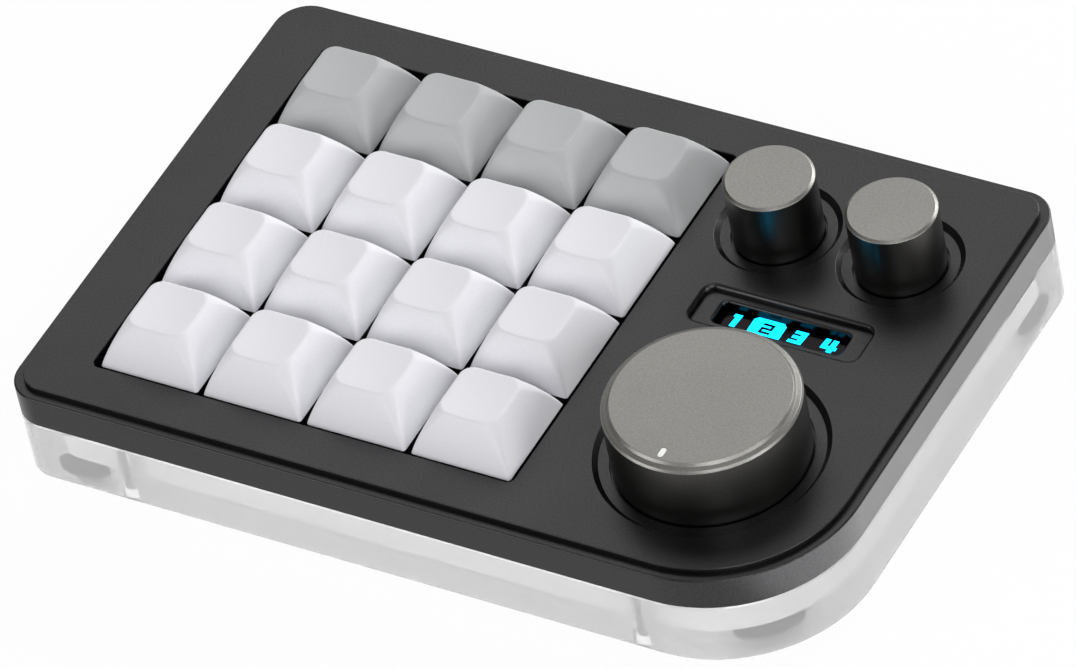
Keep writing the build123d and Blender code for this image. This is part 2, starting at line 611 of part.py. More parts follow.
def hotswap_socket(x, y):
    """Socket under the board that holds one switch's two contact pins."""
    low_z = BOARD_BOTTOM_Z - SOCKET_HEIGHT
    centres = [(x + dx, y + dy) for dx, dy in CONTACT_PIN_OFFSETS]
    body = block(SOCKET_LENGTH, SOCKET_WIDTH, low_z, BOARD_BOTTOM_Z, centres[0])
    body += block(SOCKET_LENGTH, SOCKET_WIDTH, low_z, BOARD_BOTTOM_Z, centres[1])
    for at in centres:
        hole_radius = CONTACT_PIN_RADIUS + CONTACT_PIN_CLEARANCE
        body -= rod(hole_radius, low_z + SOCKET_FLOOR, BOARD_BOTTOM_Z + THROUGH, at)
    post_hole = CENTRE_POST_RADIUS + POST_HOLE_CLEARANCE
    return body - rod(post_hole, low_z - THROUGH, BOARD_BOTTOM_Z + THROUGH, (x, y))


def cap_section(size, corner, z):
    """One level of a keycap's outside."""
    return Pos(0, 0, z) * RectangleRounded(size, size, corner)


def keycap(x, y):
    """Keycap with bowed sides, a dished top and a post for the stem's cross."""
    middle = (KEYCAP_BASE + KEYCAP_TOP) / 2 + 2 * KEYCAP_BULGE
    body = loft(
        [
            cap_section(KEYCAP_BASE, KEYCAP_BASE_CORNER, 0),
            cap_section(middle, KEYCAP_MIDDLE_CORNER, KEYCAP_HEIGHT / 2),
            cap_section(KEYCAP_TOP, KEYCAP_TOP_CORNER, KEYCAP_HEIGHT),
        ]
    )
    body -= Pos(0, 0, KEYCAP_HEIGHT + DISH_RADIUS - DISH_DEPTH) * Sphere(DISH_RADIUS)

    roof_z = KEYCAP_HEIGHT - KEYCAP_ROOF
    inside = loft(
        [
            cap_section(KEYCAP_BASE - 2 * KEYCAP_WALL, KEYCAP_INSIDE_CORNER, 0),
            cap_section(middle - 2 * KEYCAP_WALL, KEYCAP_INSIDE_CORNER, KEYCAP_INSIDE_BEND),
            cap_section(KEYCAP_INSIDE_TOP, KEYCAP_INSIDE_CORNER, roof_z),
        ]
    )
    body -= inside
    post_z = SWITCH_TOP_Z + POST_ABOVE_STEM_SHOULDER - SKIRT_Z
    body += rod(KEYCAP_POST_RADIUS, post_z, roof_z + KEYCAP_ROOF / 2)
    slot_top_z = SWITCH_TOP_Z + CROSS_HEIGHT + CROSS_FIT - SKIRT_Z
    length = CROSS_LENGTH + 2 * CROSS_FIT
    thickness = CROSS_THICKNESS + 2 * CROSS_FIT
    body -= block(length, thickness, post_z - THROUGH, slot_top_z)
    body -= block(thickness, length, post_z - THROUGH, slot_top_z)
    return Pos(x, y, SKIRT_Z) * body


# ---- Board and inlet -------------------------------------------------------
def port_prism(growth, y_low, y_high):
    """Flattened-round bar along Y with the inlet's section, grown all round."""
    section = SlotOverall(PORT_WIDTH + 2 * growth, PORT_HEIGHT + 2 * growth)
    middle_z = BOARD_TOP_Z + PORT_HEIGHT / 2
    bar = extrude(Plane.XZ * section, y_high - y_low)
    return Pos(PORT_X, y_high, middle_z) * bar


def circuit_board():
    """Main board with a tab for the inlet and holes for the switches' posts and pins."""
    outline = case_outline(CASE_WALL + BOARD_EDGE_GAP, CUTTER_RADIUS)
    tab_width = PORT_WIDTH + 2 * BOARD_TAB_MARGIN
    tab_y = BACK_Y - NOTCH_WALL - BOARD_EDGE_GAP - BOARD_TAB_LENGTH / 2
    outline += Pos(PORT_X, tab_y) * Rectangle(tab_width, BOARD_TAB_LENGTH)
    body = prism(outline, BOARD_BOTTOM_Z, BOARD_TOP_Z)
    post_hole = CENTRE_POST_RADIUS + POST_HOLE_CLEARANCE
    pin_hole = CONTACT_PIN_RADIUS + CONTACT_PIN_CLEARANCE
    for _, _, x, y in key_places():
        body -= rod(post_hole, BOARD_BOTTOM_Z - THROUGH, BOARD_TOP_Z + THROUGH, (x, y))
        for dx, dy in CONTACT_PIN_OFFSETS:
            pin_at = (x + dx, y + dy)
            body -= rod(pin_hole, BOARD_BOTTOM_Z - THROUGH, BOARD_TOP_Z + THROUGH, pin_at)
    return body


def board_components():
    """Controller, memory and crystal on the board, and the display's pin header."""
    x = BAY_LEFT_X + CHIPS_FROM_RIB
    y = FRONT_Y + CASE_WALL + CHIPS_FROM_WALL
    sizes = (
        (CONTROLLER_SIZE, CONTROLLER_SIZE, CONTROLLER_HEIGHT),
        (MEMORY_SIZE, MEMORY_SIZE, MEMORY_HEIGHT),
        (CRYSTAL_LENGTH, CRYSTAL_WIDTH, CRYSTAL_HEIGHT),
    )
    pieces = []
    for index, (length, width, height) in enumerate(sizes):
        at = (x + index * CHIP_SPACING, y)
        pieces.append(block(length, width, BOARD_TOP_Z, BOARD_TOP_Z + height, at))

    header_x = DISPLAY_AT[0] - DISPLAY_BOARD_LENGTH / 2 + HEADER_FROM_END
    header = block(
        HEADER_WIDTH,
        HEADER_PINS * HEADER_PITCH,
        BOARD_TOP_Z,
        BOARD_TOP_Z + HEADER_HEIGHT,
        (header_x, DISPLAY_AT[1]),
    )
    for index in range(HEADER_PINS):
        y = DISPLAY_AT[1] + (index - (HEADER_PINS - 1) / 2) * HEADER_PITCH
        header += rod(HEADER_PIN_RADIUS, BOARD_TOP_Z, DISPLAY_BOARD_BOTTOM_Z, (header_x, y))
    pieces.append(header)
    return pieces


def usb_c_port():
    """USB-C receptacle: a flattened-round shell with its tongue."""
    back_y = PORT_MOUTH_Y - PORT_DEPTH
    body = port_prism(0, back_y, PORT_MOUTH_Y)
    body -= port_prism(-PORT_WALL, back_y + PORT_BACK_WALL, PORT_MOUTH_Y + THROUGH)
    tongue_y = PORT_MOUTH_Y - PORT_TONGUE_SETBACK
    middle_z = BOARD_TOP_Z + PORT_HEIGHT / 2
    tongue_length = tongue_y - back_y
    tongue = Box(PORT_TONGUE_WIDTH, tongue_length, PORT_TONGUE_HEIGHT)
    return body + Pos(PORT_X, back_y + tongue_length / 2, middle_z) * tongue


# ---- Display ---------------------------------------------------------------
def display_panel():
    """Display glass under the window."""
    return block(GLASS_LENGTH, GLASS_WIDTH, GLASS_BOTTOM_Z, GLASS_TOP_Z, DISPLAY_AT)


def display_board():
    """Small board that carries the display glass."""
    return block(
        DISPLAY_BOARD_LENGTH, DISPLAY_BOARD_WIDTH, DISPLAY_BOARD_BOTTOM_Z, GLASS_BOTTOM_Z, DISPLAY_AT
    )


# ---- Knobs and encoders ----------------------------------------------------
def shaft_section(growth):
    """D-shaped section of the upper shaft, grown all round."""
    section = Circle(SHAFT_RADIUS + growth)
    edge = SHAFT_FLAT + growth
    beyond = 2 * SHAFT_RADIUS
    return section - Pos(0, edge + beyond / 2) * Rectangle(2 * beyond, beyond)


def encoder_body(at):
    """Encoder case with a bush round the shaft."""
    body = block(ENCODER_SIZE, ENCODER_SIZE, BOARD_TOP_Z, ENCODER_TOP_Z, at)
    body += rod(BUSH_RADIUS, ENCODER_TOP_Z, ENCODER_TOP_Z + BUSH_HEIGHT, at)
    cavity_top_z = ENCODER_CAVITY_Z + ENCODER_CAVITY_HEIGHT
    cavity_radius = SHAFT_FLANGE_RADIUS + ENCODER_CAVITY_GAP
    body -= rod(cavity_radius, ENCODER_CAVITY_Z, cavity_top_z, at)
    bore_top_z = ENCODER_TOP_Z + BUSH_HEIGHT + THROUGH
    return body - rod(BUSH_BORE_RADIUS, ENCODER_CAVITY_Z, bore_top_z, at)


def encoder_plunger(at):
    """Push plunger under the shaft, with the pin that the shaft turns on."""
    body = rod(SHAFT_FLANGE_RADIUS, PLUNGER_Z, SHAFT_Z, at)
    return body + rod(PLUNGER_PIN_RADIUS, PLUNGER_Z, SHAFT_Z + PLUNGER_PIN_HEIGHT, at)


def encoder_shaft(at, knob_top_z):
    """Shaft with a retaining flange, a D-shaped upper end and a bore for the plunger's pin."""
    cavity_top_z = ENCODER_CAVITY_Z + ENCODER_CAVITY_HEIGHT
    body = rod(SHAFT_FLANGE_RADIUS, SHAFT_Z, cavity_top_z - FLANGE_GAP, at)
    body += rod(SHAFT_RADIUS, SHAFT_Z, ENCODER_TOP_Z + BUSH_HEIGHT, at)
    upper = prism(shaft_section(0), ENCODER_TOP_Z + BUSH_HEIGHT, knob_top_z - KNOB_ROOF)
    body += Pos(at[0], at[1], 0) * upper
    pin_bore = PLUNGER_PIN_RADIUS + SHAFT_FIT
    return body - rod(pin_bore, SHAFT_Z - THROUGH, SHAFT_Z + PLUNGER_PIN_HEIGHT + SHAFT_FIT, at)


def shaft_bore(knob_top_z):
    """Cutter for a knob's D-shaped bore."""
    return prism(shaft_section(KNOB_BORE_FIT), KNOB_Z - THROUGH, knob_top_z - KNOB_ROOF)


def pointer_outline(growth):
    """Rounded mark on the large knob, towards the user, grown all round."""
    mark = SlotOverall(POINTER_LENGTH + 2 * growth, POINTER_WIDTH + 2 * growth, rotation=90)
    return Pos(0, POINTER_INSET - MAIN_KNOB_RADIUS) * mark


def main_knob():
    """Large knob: raised disc, bevel and sloping lip over a hollow skirt."""
    shoulder_z = KNOB_Z + MAIN_KNOB_SHOULDER
    profile = Polyline(
        (0, KNOB_Z),
        (MAIN_KNOB_RADIUS, KNOB_Z),
        (MAIN_KNOB_RADIUS, shoulder_z),
        (MAIN_KNOB_RADIUS - MAIN_KNOB_LIP_INSET, MAIN_KNOB_TOP_Z - MAIN_KNOB_LIP_DROP),
        (MAIN_KNOB_RADIUS - MAIN_KNOB_BEVEL_INSET, MAIN_KNOB_TOP_Z - MAIN_KNOB_BEVEL_DROP),
        (MAIN_KNOB_RADIUS - MAIN_KNOB_DISC_INSET, MAIN_KNOB_TOP_Z),
        (0, MAIN_KNOB_TOP_Z),
        close=True,
    )
    body = revolve(Plane.XZ * make_face(profile), Axis.Z)
    web_z = MAIN_KNOB_TOP_Z - MAIN_KNOB_WEB
    hollow = rod(MAIN_KNOB_RADIUS - MAIN_KNOB_SKIRT, KNOB_Z - THROUGH, web_z)
    hollow -= rod(MAIN_KNOB_HUB_RADIUS, KNOB_Z - THROUGH, web_z)
    body -= hollow
    body -= shaft_bore(MAIN_KNOB_TOP_Z)
    pointer_z = MAIN_KNOB_TOP_Z - POINTER_DEPTH
    body -= prism(pointer_outline(POINTER_FIT), pointer_z, MAIN_KNOB_TOP_Z + THROUGH)
    return Pos(MAIN_KNOB_AT[0], MAIN_KNOB_AT[1], 0) * body


def main_knob_pointer():
    """White mark let into the large knob."""
    mark = prism(pointer_outline(0), MAIN_KNOB_TOP_Z - POINTER_DEPTH, MAIN_KNOB_TOP_Z)
    return Pos(MAIN_KNOB_AT[0], MAIN_KNOB_AT[1], 0) * mark


def small_knob(at):
    """Small knob with a narrow chamfer round its top."""
    shoulder_z = KNOB_Z + SMALL_KNOB_SHOULDER
    body = rod(SMALL_KNOB_RADIUS, KNOB_Z, shoulder_z)
    middle_z = shoulder_z + SMALL_KNOB_CHAMFER_RISE / 2
    face_radius = SMALL_KNOB_RADIUS - SMALL_KNOB_CHAMFER_WIDTH
    body += Pos(0, 0, middle_z) * Cone(SMALL_KNOB_RADIUS, face_radius, SMALL_KNOB_CHAMFER_RISE)
    body -= shaft_bore(SMALL_KNOB_TOP_Z)
    return Pos(at[0], at[1], 0) * body


# ---- Output ----------------------------------------------------------------
def all_nodes():
    """Every node's name and its solid, or its group of solids."""
    nodes = {
        "top_shell": top_shell(),
        "base_shell": base_shell(),
        "feet": feet(),
        "case_screws": case_screws(),
        "plate_screws": plate_screws(),
        "switch_plate": switch_plate(),
        "circuit_board": circuit_board(),
        "board_components": board_components(),
        "usb_c_port": usb_c_port(),
        "display_panel": display_panel(),
        "display_board": display_board(),
        "main_knob": main_knob(),
        "main_knob_pointer": main_knob_pointer(),
        "left_knob": small_knob(LEFT_KNOB_AT),
        "right_knob": small_knob(RIGHT_KNOB_AT),
    }
    encoders = (
        ("main", MAIN_KNOB_AT, MAIN_KNOB_TOP_Z),
        ("left", LEFT_KNOB_AT, SMALL_KNOB_TOP_Z),
        ("right", RIGHT_KNOB_AT, SMALL_KNOB_TOP_Z),
    )
    for name, at, knob_top_z in encoders:
        nodes[f"{name}_encoder_body"] = encoder_body(at)
        nodes[f"{name}_encoder_plunger"] = encoder_plunger(at)
        nodes[f"{name}_encoder_shaft"] = encoder_shaft(at, knob_top_z)
    places = key_places()
    nodes["switch_lower_housings"] = [lower_housing(x, y) for _, _, x, y in places]
    nodes["switch_upper_housings"] = [upper_housing(x, y) for _, _, x, y in places]
    nodes["switch_springs"] = [switch_spring(x, y) for _, _, x, y in places]
    nodes["hotswap_sockets"] = [hotswap_socket(x, y) for _, _, x, y in places]
    for row, column, x, y in places:
        nodes[f"keycap_r{row}c{column}"] = keycap(x, y)
        nodes[f"switch_stem_r{row}c{column}"] = switch_stem(x, y)
    return nodes


def main():
    """Write every node to parts/."""
    os.makedirs("parts", exist_ok=True)
    for name, shape in all_nodes().items():
        solid = Compound(children=shape) if isinstance(shape, list) else shape
        export_step(solid, f"parts/{name}.step")


main()
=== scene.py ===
"""Looks of a macro keypad with knobs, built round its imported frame.

Sizes are in millimetres and become metres where a mesh is made. +X is the user's right,
+Y is away from the user, +Z is up, and the object stands on z = 0.
"""

import json
import logging
import math
from collections.abc import Sequence
from dataclasses import dataclass, replace
from enum import Enum

import bmesh
import bpy
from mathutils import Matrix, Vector
from mathutils.geometry import normal


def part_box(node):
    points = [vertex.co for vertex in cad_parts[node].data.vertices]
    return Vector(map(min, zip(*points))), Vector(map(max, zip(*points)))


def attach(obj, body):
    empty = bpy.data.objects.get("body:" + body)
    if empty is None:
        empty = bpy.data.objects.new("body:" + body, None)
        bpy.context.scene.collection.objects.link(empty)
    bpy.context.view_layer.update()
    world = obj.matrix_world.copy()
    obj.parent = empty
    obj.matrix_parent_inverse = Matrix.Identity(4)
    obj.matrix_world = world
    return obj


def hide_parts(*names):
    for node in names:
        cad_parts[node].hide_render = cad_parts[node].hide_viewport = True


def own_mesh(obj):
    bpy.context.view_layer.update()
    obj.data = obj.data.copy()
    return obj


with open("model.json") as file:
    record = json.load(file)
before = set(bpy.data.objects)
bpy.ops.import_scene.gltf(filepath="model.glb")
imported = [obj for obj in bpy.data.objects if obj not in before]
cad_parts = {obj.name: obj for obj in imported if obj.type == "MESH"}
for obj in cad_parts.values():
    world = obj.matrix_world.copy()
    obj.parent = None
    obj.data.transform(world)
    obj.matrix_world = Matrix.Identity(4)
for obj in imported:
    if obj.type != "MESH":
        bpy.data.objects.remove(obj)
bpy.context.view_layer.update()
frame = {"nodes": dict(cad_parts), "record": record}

log = logging.getLogger("keypad")

MM = 0.001                    # metres in a millimetre
FACE_GAP = 0.02               # mm, left between two pieces that meet face to face
LEAD = 1.0                    # mm, run of a path before its first corner and after its last
ROUND_STEPS = 128             # points round a knob and round its recess
NOISE_SPAN = (0.35, 0.65)     # values that a noise texture mostly stays between
WHITE = "#ffffff"

Point = tuple[float, float]
Place = tuple[float, float, float]
Loop = list[bmesh.types.BMVert]


# ---- Finishes --------------------------------------------------------------
def linear(hex_colour: str) -> tuple[float, float, float, float]:
    """Turns an sRGB colour into the linear one that shaders take.

    Args:
        hex_colour: Colour as "#rrggbb".

    Returns:
        Linear red, green, blue and an alpha of 1.
    """
    channels = [int(hex_colour[i : i + 2], 16) / 255 for i in (1, 3, 5)]
    red, green, blue = (c / 12.92 if c <= 0.04045 else ((c + 0.055) / 1.055) ** 2.4 for c in channels)
    return red, green, blue, 1.0


def add_node(
    tree: bpy.types.NodeTree, kind: str, inputs: dict[str | int, object] | None = None, **settings: object
) -> bpy.types.Node:
    """Adds a node with its settings, values and links.

    Args:
        tree: Node tree that gets the node.
        kind: Blender's type name for the node.
        inputs: Value to set, or socket to link from, for each input by name or number.
        **settings: Properties of the node.

    Returns:
        The new node.
    """
    node = tree.nodes.new(kind)
    for name, value in settings.items():
        setattr(node, name, value)
    for key, value in (inputs or {}).items():
        if isinstance(value, bpy.types.NodeSocket):
            tree.links.new(value, node.inputs[key])
        else:
            node.inputs[key].default_value = value
    return node


def empty_material(name: str) -> tuple[bpy.types.Material, bpy.types.NodeTree]:
    """Makes a node material with nothing in it yet.

    Args:
        name: Name of the material.

    Returns:
        The material and its node tree.
    """
    material = bpy.data.materials.new(name)
    material.use_nodes = True
    material.node_tree.nodes.clear()
    return material, material.node_tree


@dataclass(frozen=True)
class Surface:
    """Finish of a surface, known by the name of its material."""

    name: str

    def material(self) -> bpy.types.Material:
        """Gives the finish's node material, made once and then kept by name.

        Returns:
            The material.
        """
        material = bpy.data.materials.get(self.name)
        if material is None:
            material, tree = empty_material(self.name)
            place = add_node(tree, "ShaderNodeTexCoord").outputs["Object"]
            shader = self.shader(tree, place)
            add_node(tree, "ShaderNodeOutputMaterial", {"Surface": shader.outputs[0]})
        return material

    def shader(self, tree: bpy.types.NodeTree, place: bpy.types.NodeSocket) -> bpy.types.Node:
        """Adds the finish's own nodes, the last of which is the shader."""
        raise NotImplementedError


@dataclass(frozen=True)
class Finish(Surface):
    """Opaque finish with a fine grain, flecks of a second tone and a slow drift of gloss."""

    colour: str
    fleck: str
    roughness: float
    metallic: float = 0.0
    grain: float = 0.4        # mm across one grain
    relief: float = 0.004     # mm that the grain stands up
    drift: float = 14.0       # mm across one patch of slightly other gloss
    gloss_spread: float = 0.04

    def shader(self, tree: bpy.types.NodeTree, place: bpy.types.NodeSocket) -> bpy.types.Node:
        """Adds the nodes of the grain, the flecks, the gloss and the plain shader.

        Args:
            tree: Node tree that gets them.
            place: Socket that gives the place on the piece.

        Returns:
            The shader node.
        """
        grain = add_node(
            tree,
            "ShaderNodeTexNoise",
            {"Vector": place, "Scale": 1 / (self.grain * MM), "Detail": 2.0, "Roughness": 0.6},
        )
        drift = add_node(tree, "ShaderNodeTexNoise", {"Vector": place, "Scale": 1 / (self.drift * MM)})
        tone = add_node(
            tree,
            "ShaderNodeMapRange",
            {"Value": grain.outputs["Fac"], "From Min": NOISE_SPAN[0], "From Max": NOISE_SPAN[1]},
        )
        colour = add_node(
            tree,
            "ShaderNodeMix",
            {0: tone.outputs[0], 6: linear(self.colour), 7: linear(self.fleck)},
            data_type="RGBA",
        )
        gloss = add_node(
            tree,
            "ShaderNodeMapRange",
            {
                "Value": drift.outputs["Fac"],
                "To Min": self.roughness - self.gloss_spread,
                "To Max": self.roughness + self.gloss_spread,
            },
        )
        relief = add_node(
            tree, "ShaderNodeBump", {"Height": grain.outputs["Fac"], "Distance": self.relief * MM}
        )
        return add_node(
            tree,
            "ShaderNodeBsdfPrincipled",
            {
                "Base Color": colour.outputs[2],
                "Metallic": self.metallic,
                "Roughness": gloss.outputs[0],
                "Normal": relief.outputs[0],
            },
        )


@dataclass(frozen=True)
class ClearFinish(Surface):
    """See-through plastic, polished or left matt by a cutter."""

    colour: str
    roughness: float
    haze: float               # share of the light that the plastic scatters
    ior: float = 1.49         # acrylic
    mark: float = 6.0         # mm from one wave or tool mark to the next
    relief: float = 0.01      # mm that they stand up

    def shader(self, tree: bpy.types.NodeTree, place: bpy.types.NodeSocket) -> bpy.types.Node:
        """Adds the nodes of the waves and the see-through shader.

        Args:
            tree: Node tree that gets them.
            place: Socket that gives the place on the piece.

        Returns:
            The shader node.
        """
        waves = add_node(
            tree, "ShaderNodeTexNoise", {"Vector": place, "Scale": 1 / (self.mark * MM), "Detail": 1.0}
        )
        relief = add_node(
            tree, "ShaderNodeBump", {"Height": waves.outputs["Fac"], "Distance": self.relief * MM}
        )
        return add_node(
            tree,
            "ShaderNodeBsdfPrincipled",
            {
                "Base Color": linear(self.colour),
                "Roughness": self.roughness,
                "IOR": self.ior,
                "Transmission Weight": 1 - self.haze,
                "Normal": relief.outputs[0],
            },
        )


@dataclass(frozen=True)
class LitFinish(Surface):
    """Lit picture dots of a small display."""

    colour: str
    strength: float
    dot: float = 0.19         # mm from one picture dot to the next
    dimmest: float = 0.82     # brightness between two rows of dots

    def shader(self, tree: bpy.types.NodeTree, place: bpy.types.NodeSocket) -> bpy.types.Node:
        """Adds the nodes of the rows of dots and their light.

        Args:
            tree: Node tree that gets them.
            place: Socket that gives the place on the piece.

        Returns:
            The shader node.
        """
        rows = add_node(
            tree,
            "ShaderNodeTexWave",
            {"Vector": place, "Scale": math.pi / 10 / (self.dot * MM)},
            bands_direction="Y",
        )
        glow = add_node(
            tree,
            "ShaderNodeMapRange",
            {
                "Value": rows.outputs["Fac"],
                "To Min": self.strength * self.dimmest,
                "To Max": self.strength,
            },
        )
        return add_node(
            tree, "ShaderNodeEmission", {"Color": linear(self.colour), "Strength": glow.outputs[0]}
        )


# Black anodised aluminium, bead blasted: dull dark metal with a fine even sparkle.
SHELL_METAL = Finish("anodised_aluminium_blasted", "#383839", "#404041", 0.36, 1.0, 0.35, 0.003)
# Grey anodised aluminium, turned: the same metal left smoother, so that it shows upright highlights, with its
# colour painted darker than the top face's as shade on the upright side.
KNOB_SIDE_SHADED_METAL = Finish("anodised_aluminium_turned", "#565553", "#5d5c5a", 0.34, 1.0, 0.3, 0.001)
# Grey anodised aluminium, blasted after turning: coarser specks on the knobs' top faces.
KNOB_FACE_METAL = Finish("anodised_aluminium_knob_face", "#7f7e7a", "#8b8a86", 0.42, 1.0, 0.3, 0.006)
# Cast acrylic with flame-polished outer faces: clear, with slow waves that bend what lies behind.
POLISHED_ACRYLIC = ClearFinish("acrylic_polished", "#fbfbfb", 0.1, 0.3)
# Cast acrylic as an end mill leaves it: a white matt bloom that light spreads through.
MILLED_ACRYLIC = ClearFinish("acrylic_milled", "#ffffff", 0.5, 0.92, mark=0.5, relief=0.02)
# Moulded rubber: near black and fully matt.
FOOT_RUBBER = Finish("rubber_moulded", "#2b2b2d", "#343436", 0.8, 0.0, 0.5, 0.01)
# Adhesive that holds a foot in its seat: black film that wets the acrylic.
FOOT_ADHESIVE = Finish("adhesive_film_black", "#202022", "#262628", 0.6, 0.0, 1.0, 0.002)
# Black-oxide steel: dark grey metal with a soft gloss.
SCREW_STEEL = Finish("steel_black_oxide", "#2a2a2c", "#363638", 0.4, 1.0, 0.25, 0.002)
# Powder-coated steel: black with an orange-peel skin.
PLATE_STEEL = Finish("steel_powder_coated", "#1f1f20", "#262627", 0.55, 0.0, 0.8, 0.01)
# Epoxy board under black solder mask: smooth, dark and slightly glossy.
BOARD_MASK = Finish("solder_mask_black", "#15171a", "#1b1e22", 0.35, 0.0, 1.2, 0.003)
# Moulded epoxy and nylon parts: dull black with a fine grain.
MOULDED_BLACK = Finish("nylon_moulded_black", "#1c1c1e", "#242427", 0.6, 0.0, 0.4, 0.005)
# Polycarbonate switch housing: black with a smooth satin gloss.
HOUSING_BLACK = Finish("polycarbonate_moulded", "#1b1b1d", "#222225", 0.4, 0.0, 0.5, 0.003)
# Acetal slider: smooth red plastic with a waxy gloss.
STEM_ACETAL = Finish("acetal_moulded_red", "#9c1f22", "#a6282a", 0.35, 0.0, 0.4, 0.002)
# Stamped stainless steel: cool bright metal, a little brushed.
STAMPED_STEEL = Finish("steel_stamped", "#b4b5b8", "#c2c3c6", 0.28, 1.0, 0.5, 0.002)
# Drawn spring wire: bright steel.
SPRING_WIRE = Finish("steel_drawn_wire", "#bcbcbe", "#c8c8ca", 0.22, 1.0, 0.3, 0.001)
# Turned aluminium shaft: pale soft metal.
SHAFT_METAL = Finish("aluminium_turned", "#c3c4c6", "#d0d1d2", 0.3, 1.0, 0.4, 0.002)
# Display glass with an anti-glare film over a dark panel: near black, with weak mirror images.
DISPLAY_GLASS = Finish(
    "display_glass_black", "#1a1718", "#1c191a", 0.15, 1.0, 2.0, 0.0002, gloss_spread=0.02
)
# Steep wall of the display window: the shell's anodised aluminium, smooth and satin, with its colour painted
# darker as shade in the deep window.
WINDOW_WALL_PAINTED_SHADE = Finish("anodised_aluminium_window", "#1c1c1d", "#202021", 0.22, 1.0, 0.3, 0.0005)
# Cyan picture dots: light of their own, in close rows.
DISPLAY_LIGHT = LitFinish("display_dots_cyan", "#10c4ff", 3.2)
# Painted mark: flat white enamel.
POINTER_ENAMEL = Finish("enamel_white", "#f2f2f0", "#fafaf8", 0.4, 0.0, 0.5, 0.002)
# Moulded PBT keycaps: dry matt plastic with a skin of fine texture, in pale grey and in white.
CAP_WHITE = Finish("pbt_moulded_white", "#e5e5ea", "#e9e9ed", 0.85, 0.0, 0.3, 0.006)
CAP_GREY = Finish("pbt_moulded_grey", "#b6b8b9", "#babcbd", 0.85, 0.0, 0.3, 0.006)

FINISH_OF_SLOT: dict[str, Finish] = {
    "screw_steel": SCREW_STEEL,
    "plate_steel": PLATE_STEEL,
    "circuit_board": BOARD_MASK,
    "component_black": MOULDED_BLACK,
    "port_steel": STAMPED_STEEL,
    "switch_housing": HOUSING_BLACK,
    "encoder_metal": STAMPED_STEEL,
    "shaft_aluminium": SHAFT_METAL,
    "switch_stem": STEM_ACETAL,
}


# ---- Outlines --------------------------------------------------------------
def arc(centre: Point, radius: float, start: float, end: float, steps: int) -> list[Point]:
    """Places points along an arc.

    Args:
        centre: Middle of the arc.
        radius: Radius of the arc.
        start: First angle in degrees, counted from +X towards +Y.
        end: Last angle in degrees.
        steps: Number of equal steps.

    Returns:
        The points, both ends included.
    """
    angles = [math.radians(start + (end - start) * i / steps) for i in range(steps + 1)]
    return [(centre[0] + radius * math.cos(a), centre[1] + radius * math.sin(a)) for a in angles]


def circle(centre: Point, radius: float, steps: int = 64) -> list[Point]:
    """Places points round a circle.

    Args:
        centre: Middle of the circle.
        radius: Radius of the circle.
        steps: Number of points.

    Returns:
        The points, with the first one not repeated.
    """
    return arc(centre, radius, 0, 360, steps)[:-1]


def stadium(centre: Point, length: float, width: float, steps: int = 12) -> list[Point]:
    """Places points round a bar with half-round ends, along the first axis.

    Args:
        centre: Middle of the bar.
        length: Length over both ends.
        width: Width of the bar.
        steps: Steps round each end.

    Returns:
        The points, with the first one not repeated.
    """
    half = (length - width) / 2
    right = arc((centre[0] + half, centre[1]), width / 2, -90, 90, steps)
    return right + arc((centre[0] - half, centre[1]), width / 2, 90, 270, steps)


def corner_steps(radius: float) -> int:
    """Gives the number of steps round a corner, more for a larger one."""
    return max(6, round(4 * math.sqrt(radius)))


@dataclass(frozen=True)
class Plan:
    """Rectangle with rounded corners, seen from above."""

    x_low: float
    x_high: float
    y_low: float
    y_high: float
    corners: tuple[float, float, float, float]    # front left, front right, back right, back left
    smallest: float = 0.0                         # least radius that a drawn-in corner keeps

    def outline(self, inset: float = 0.0) -> list[Point]:
        """Places points round the plan, drawn in by inset with concentric corners.

        Args:
            inset: Distance inside the plan, or outside it where negative.

        Returns:
            The points, counter-clockwise from the front left corner.
        """
        points: list[Point] = []
        sides = (
            (self.x_low, self.y_low, 1, 1, 180),
            (self.x_high, self.y_low, -1, 1, 270),
            (self.x_high, self.y_high, -1, -1, 0),
            (self.x_low, self.y_high, 1, -1, 90),
        )
        for (x, y, in_x, in_y, start), corner in zip(sides, self.corners):
            radius = max(corner - inset, self.smallest, FACE_GAP)
            reach = inset + radius
            middle = (x + in_x * reach, y + in_y * reach)
            points += arc(middle, radius, start, start + 90, corner_steps(corner))
        return points


def centred_plan(centre: Point, length: float, width: float, corner: float) -> Plan:
    """Makes a plan about a centre.

    Args:
        centre: Middle of the plan.
        length: Length along X.
        width: Width along Y.
        corner: Radius of all four corners.

    Returns:
        The plan.
    """
    x, y = centre
    return Plan(x - length / 2, x + length / 2, y - width / 2, y + width / 2, (corner,) * 4)


def rounded(path: Sequence[tuple[float, float, float]], steps: int = 4) -> list[Point]:
    """Rounds the corners of a path of straight runs.

    Args:
        path: Two coordinates and a corner radius for each point.
        steps: Steps round each corner.

    Returns:
        The path's points, with arcs at the corners that have a radius.
    """
    points = [Vector(path[0][:2])]
    for before, here, after in zip(path, path[1:], path[2:]):
        corner = Vector(here[:2])
        run_in = (corner - Vector(before[:2])).normalized()
        run_out = (Vector(after[:2]) - corner).normalized()
        turn = run_in.angle_signed(run_out)
        if here[2] == 0 or abs(turn) < math.radians(1):
            points.append(corner)
            continue
        start = corner - run_in * here[2] * math.tan(abs(turn) / 2)
        side = Vector((run_in.y, -run_in.x)) * math.copysign(here[2], turn)
        for i in range(steps + 1):
            angle = -turn * i / steps
            cos, sin = math.cos(angle), math.sin(angle)
            spoke = Vector((-side.x * cos + side.y * sin, -side.x * sin - side.y * cos))
            points.append(start + side + spoke)
    points.append(Vector(path[-1][:2]))
    return [(p.x, p.y) for p in points]


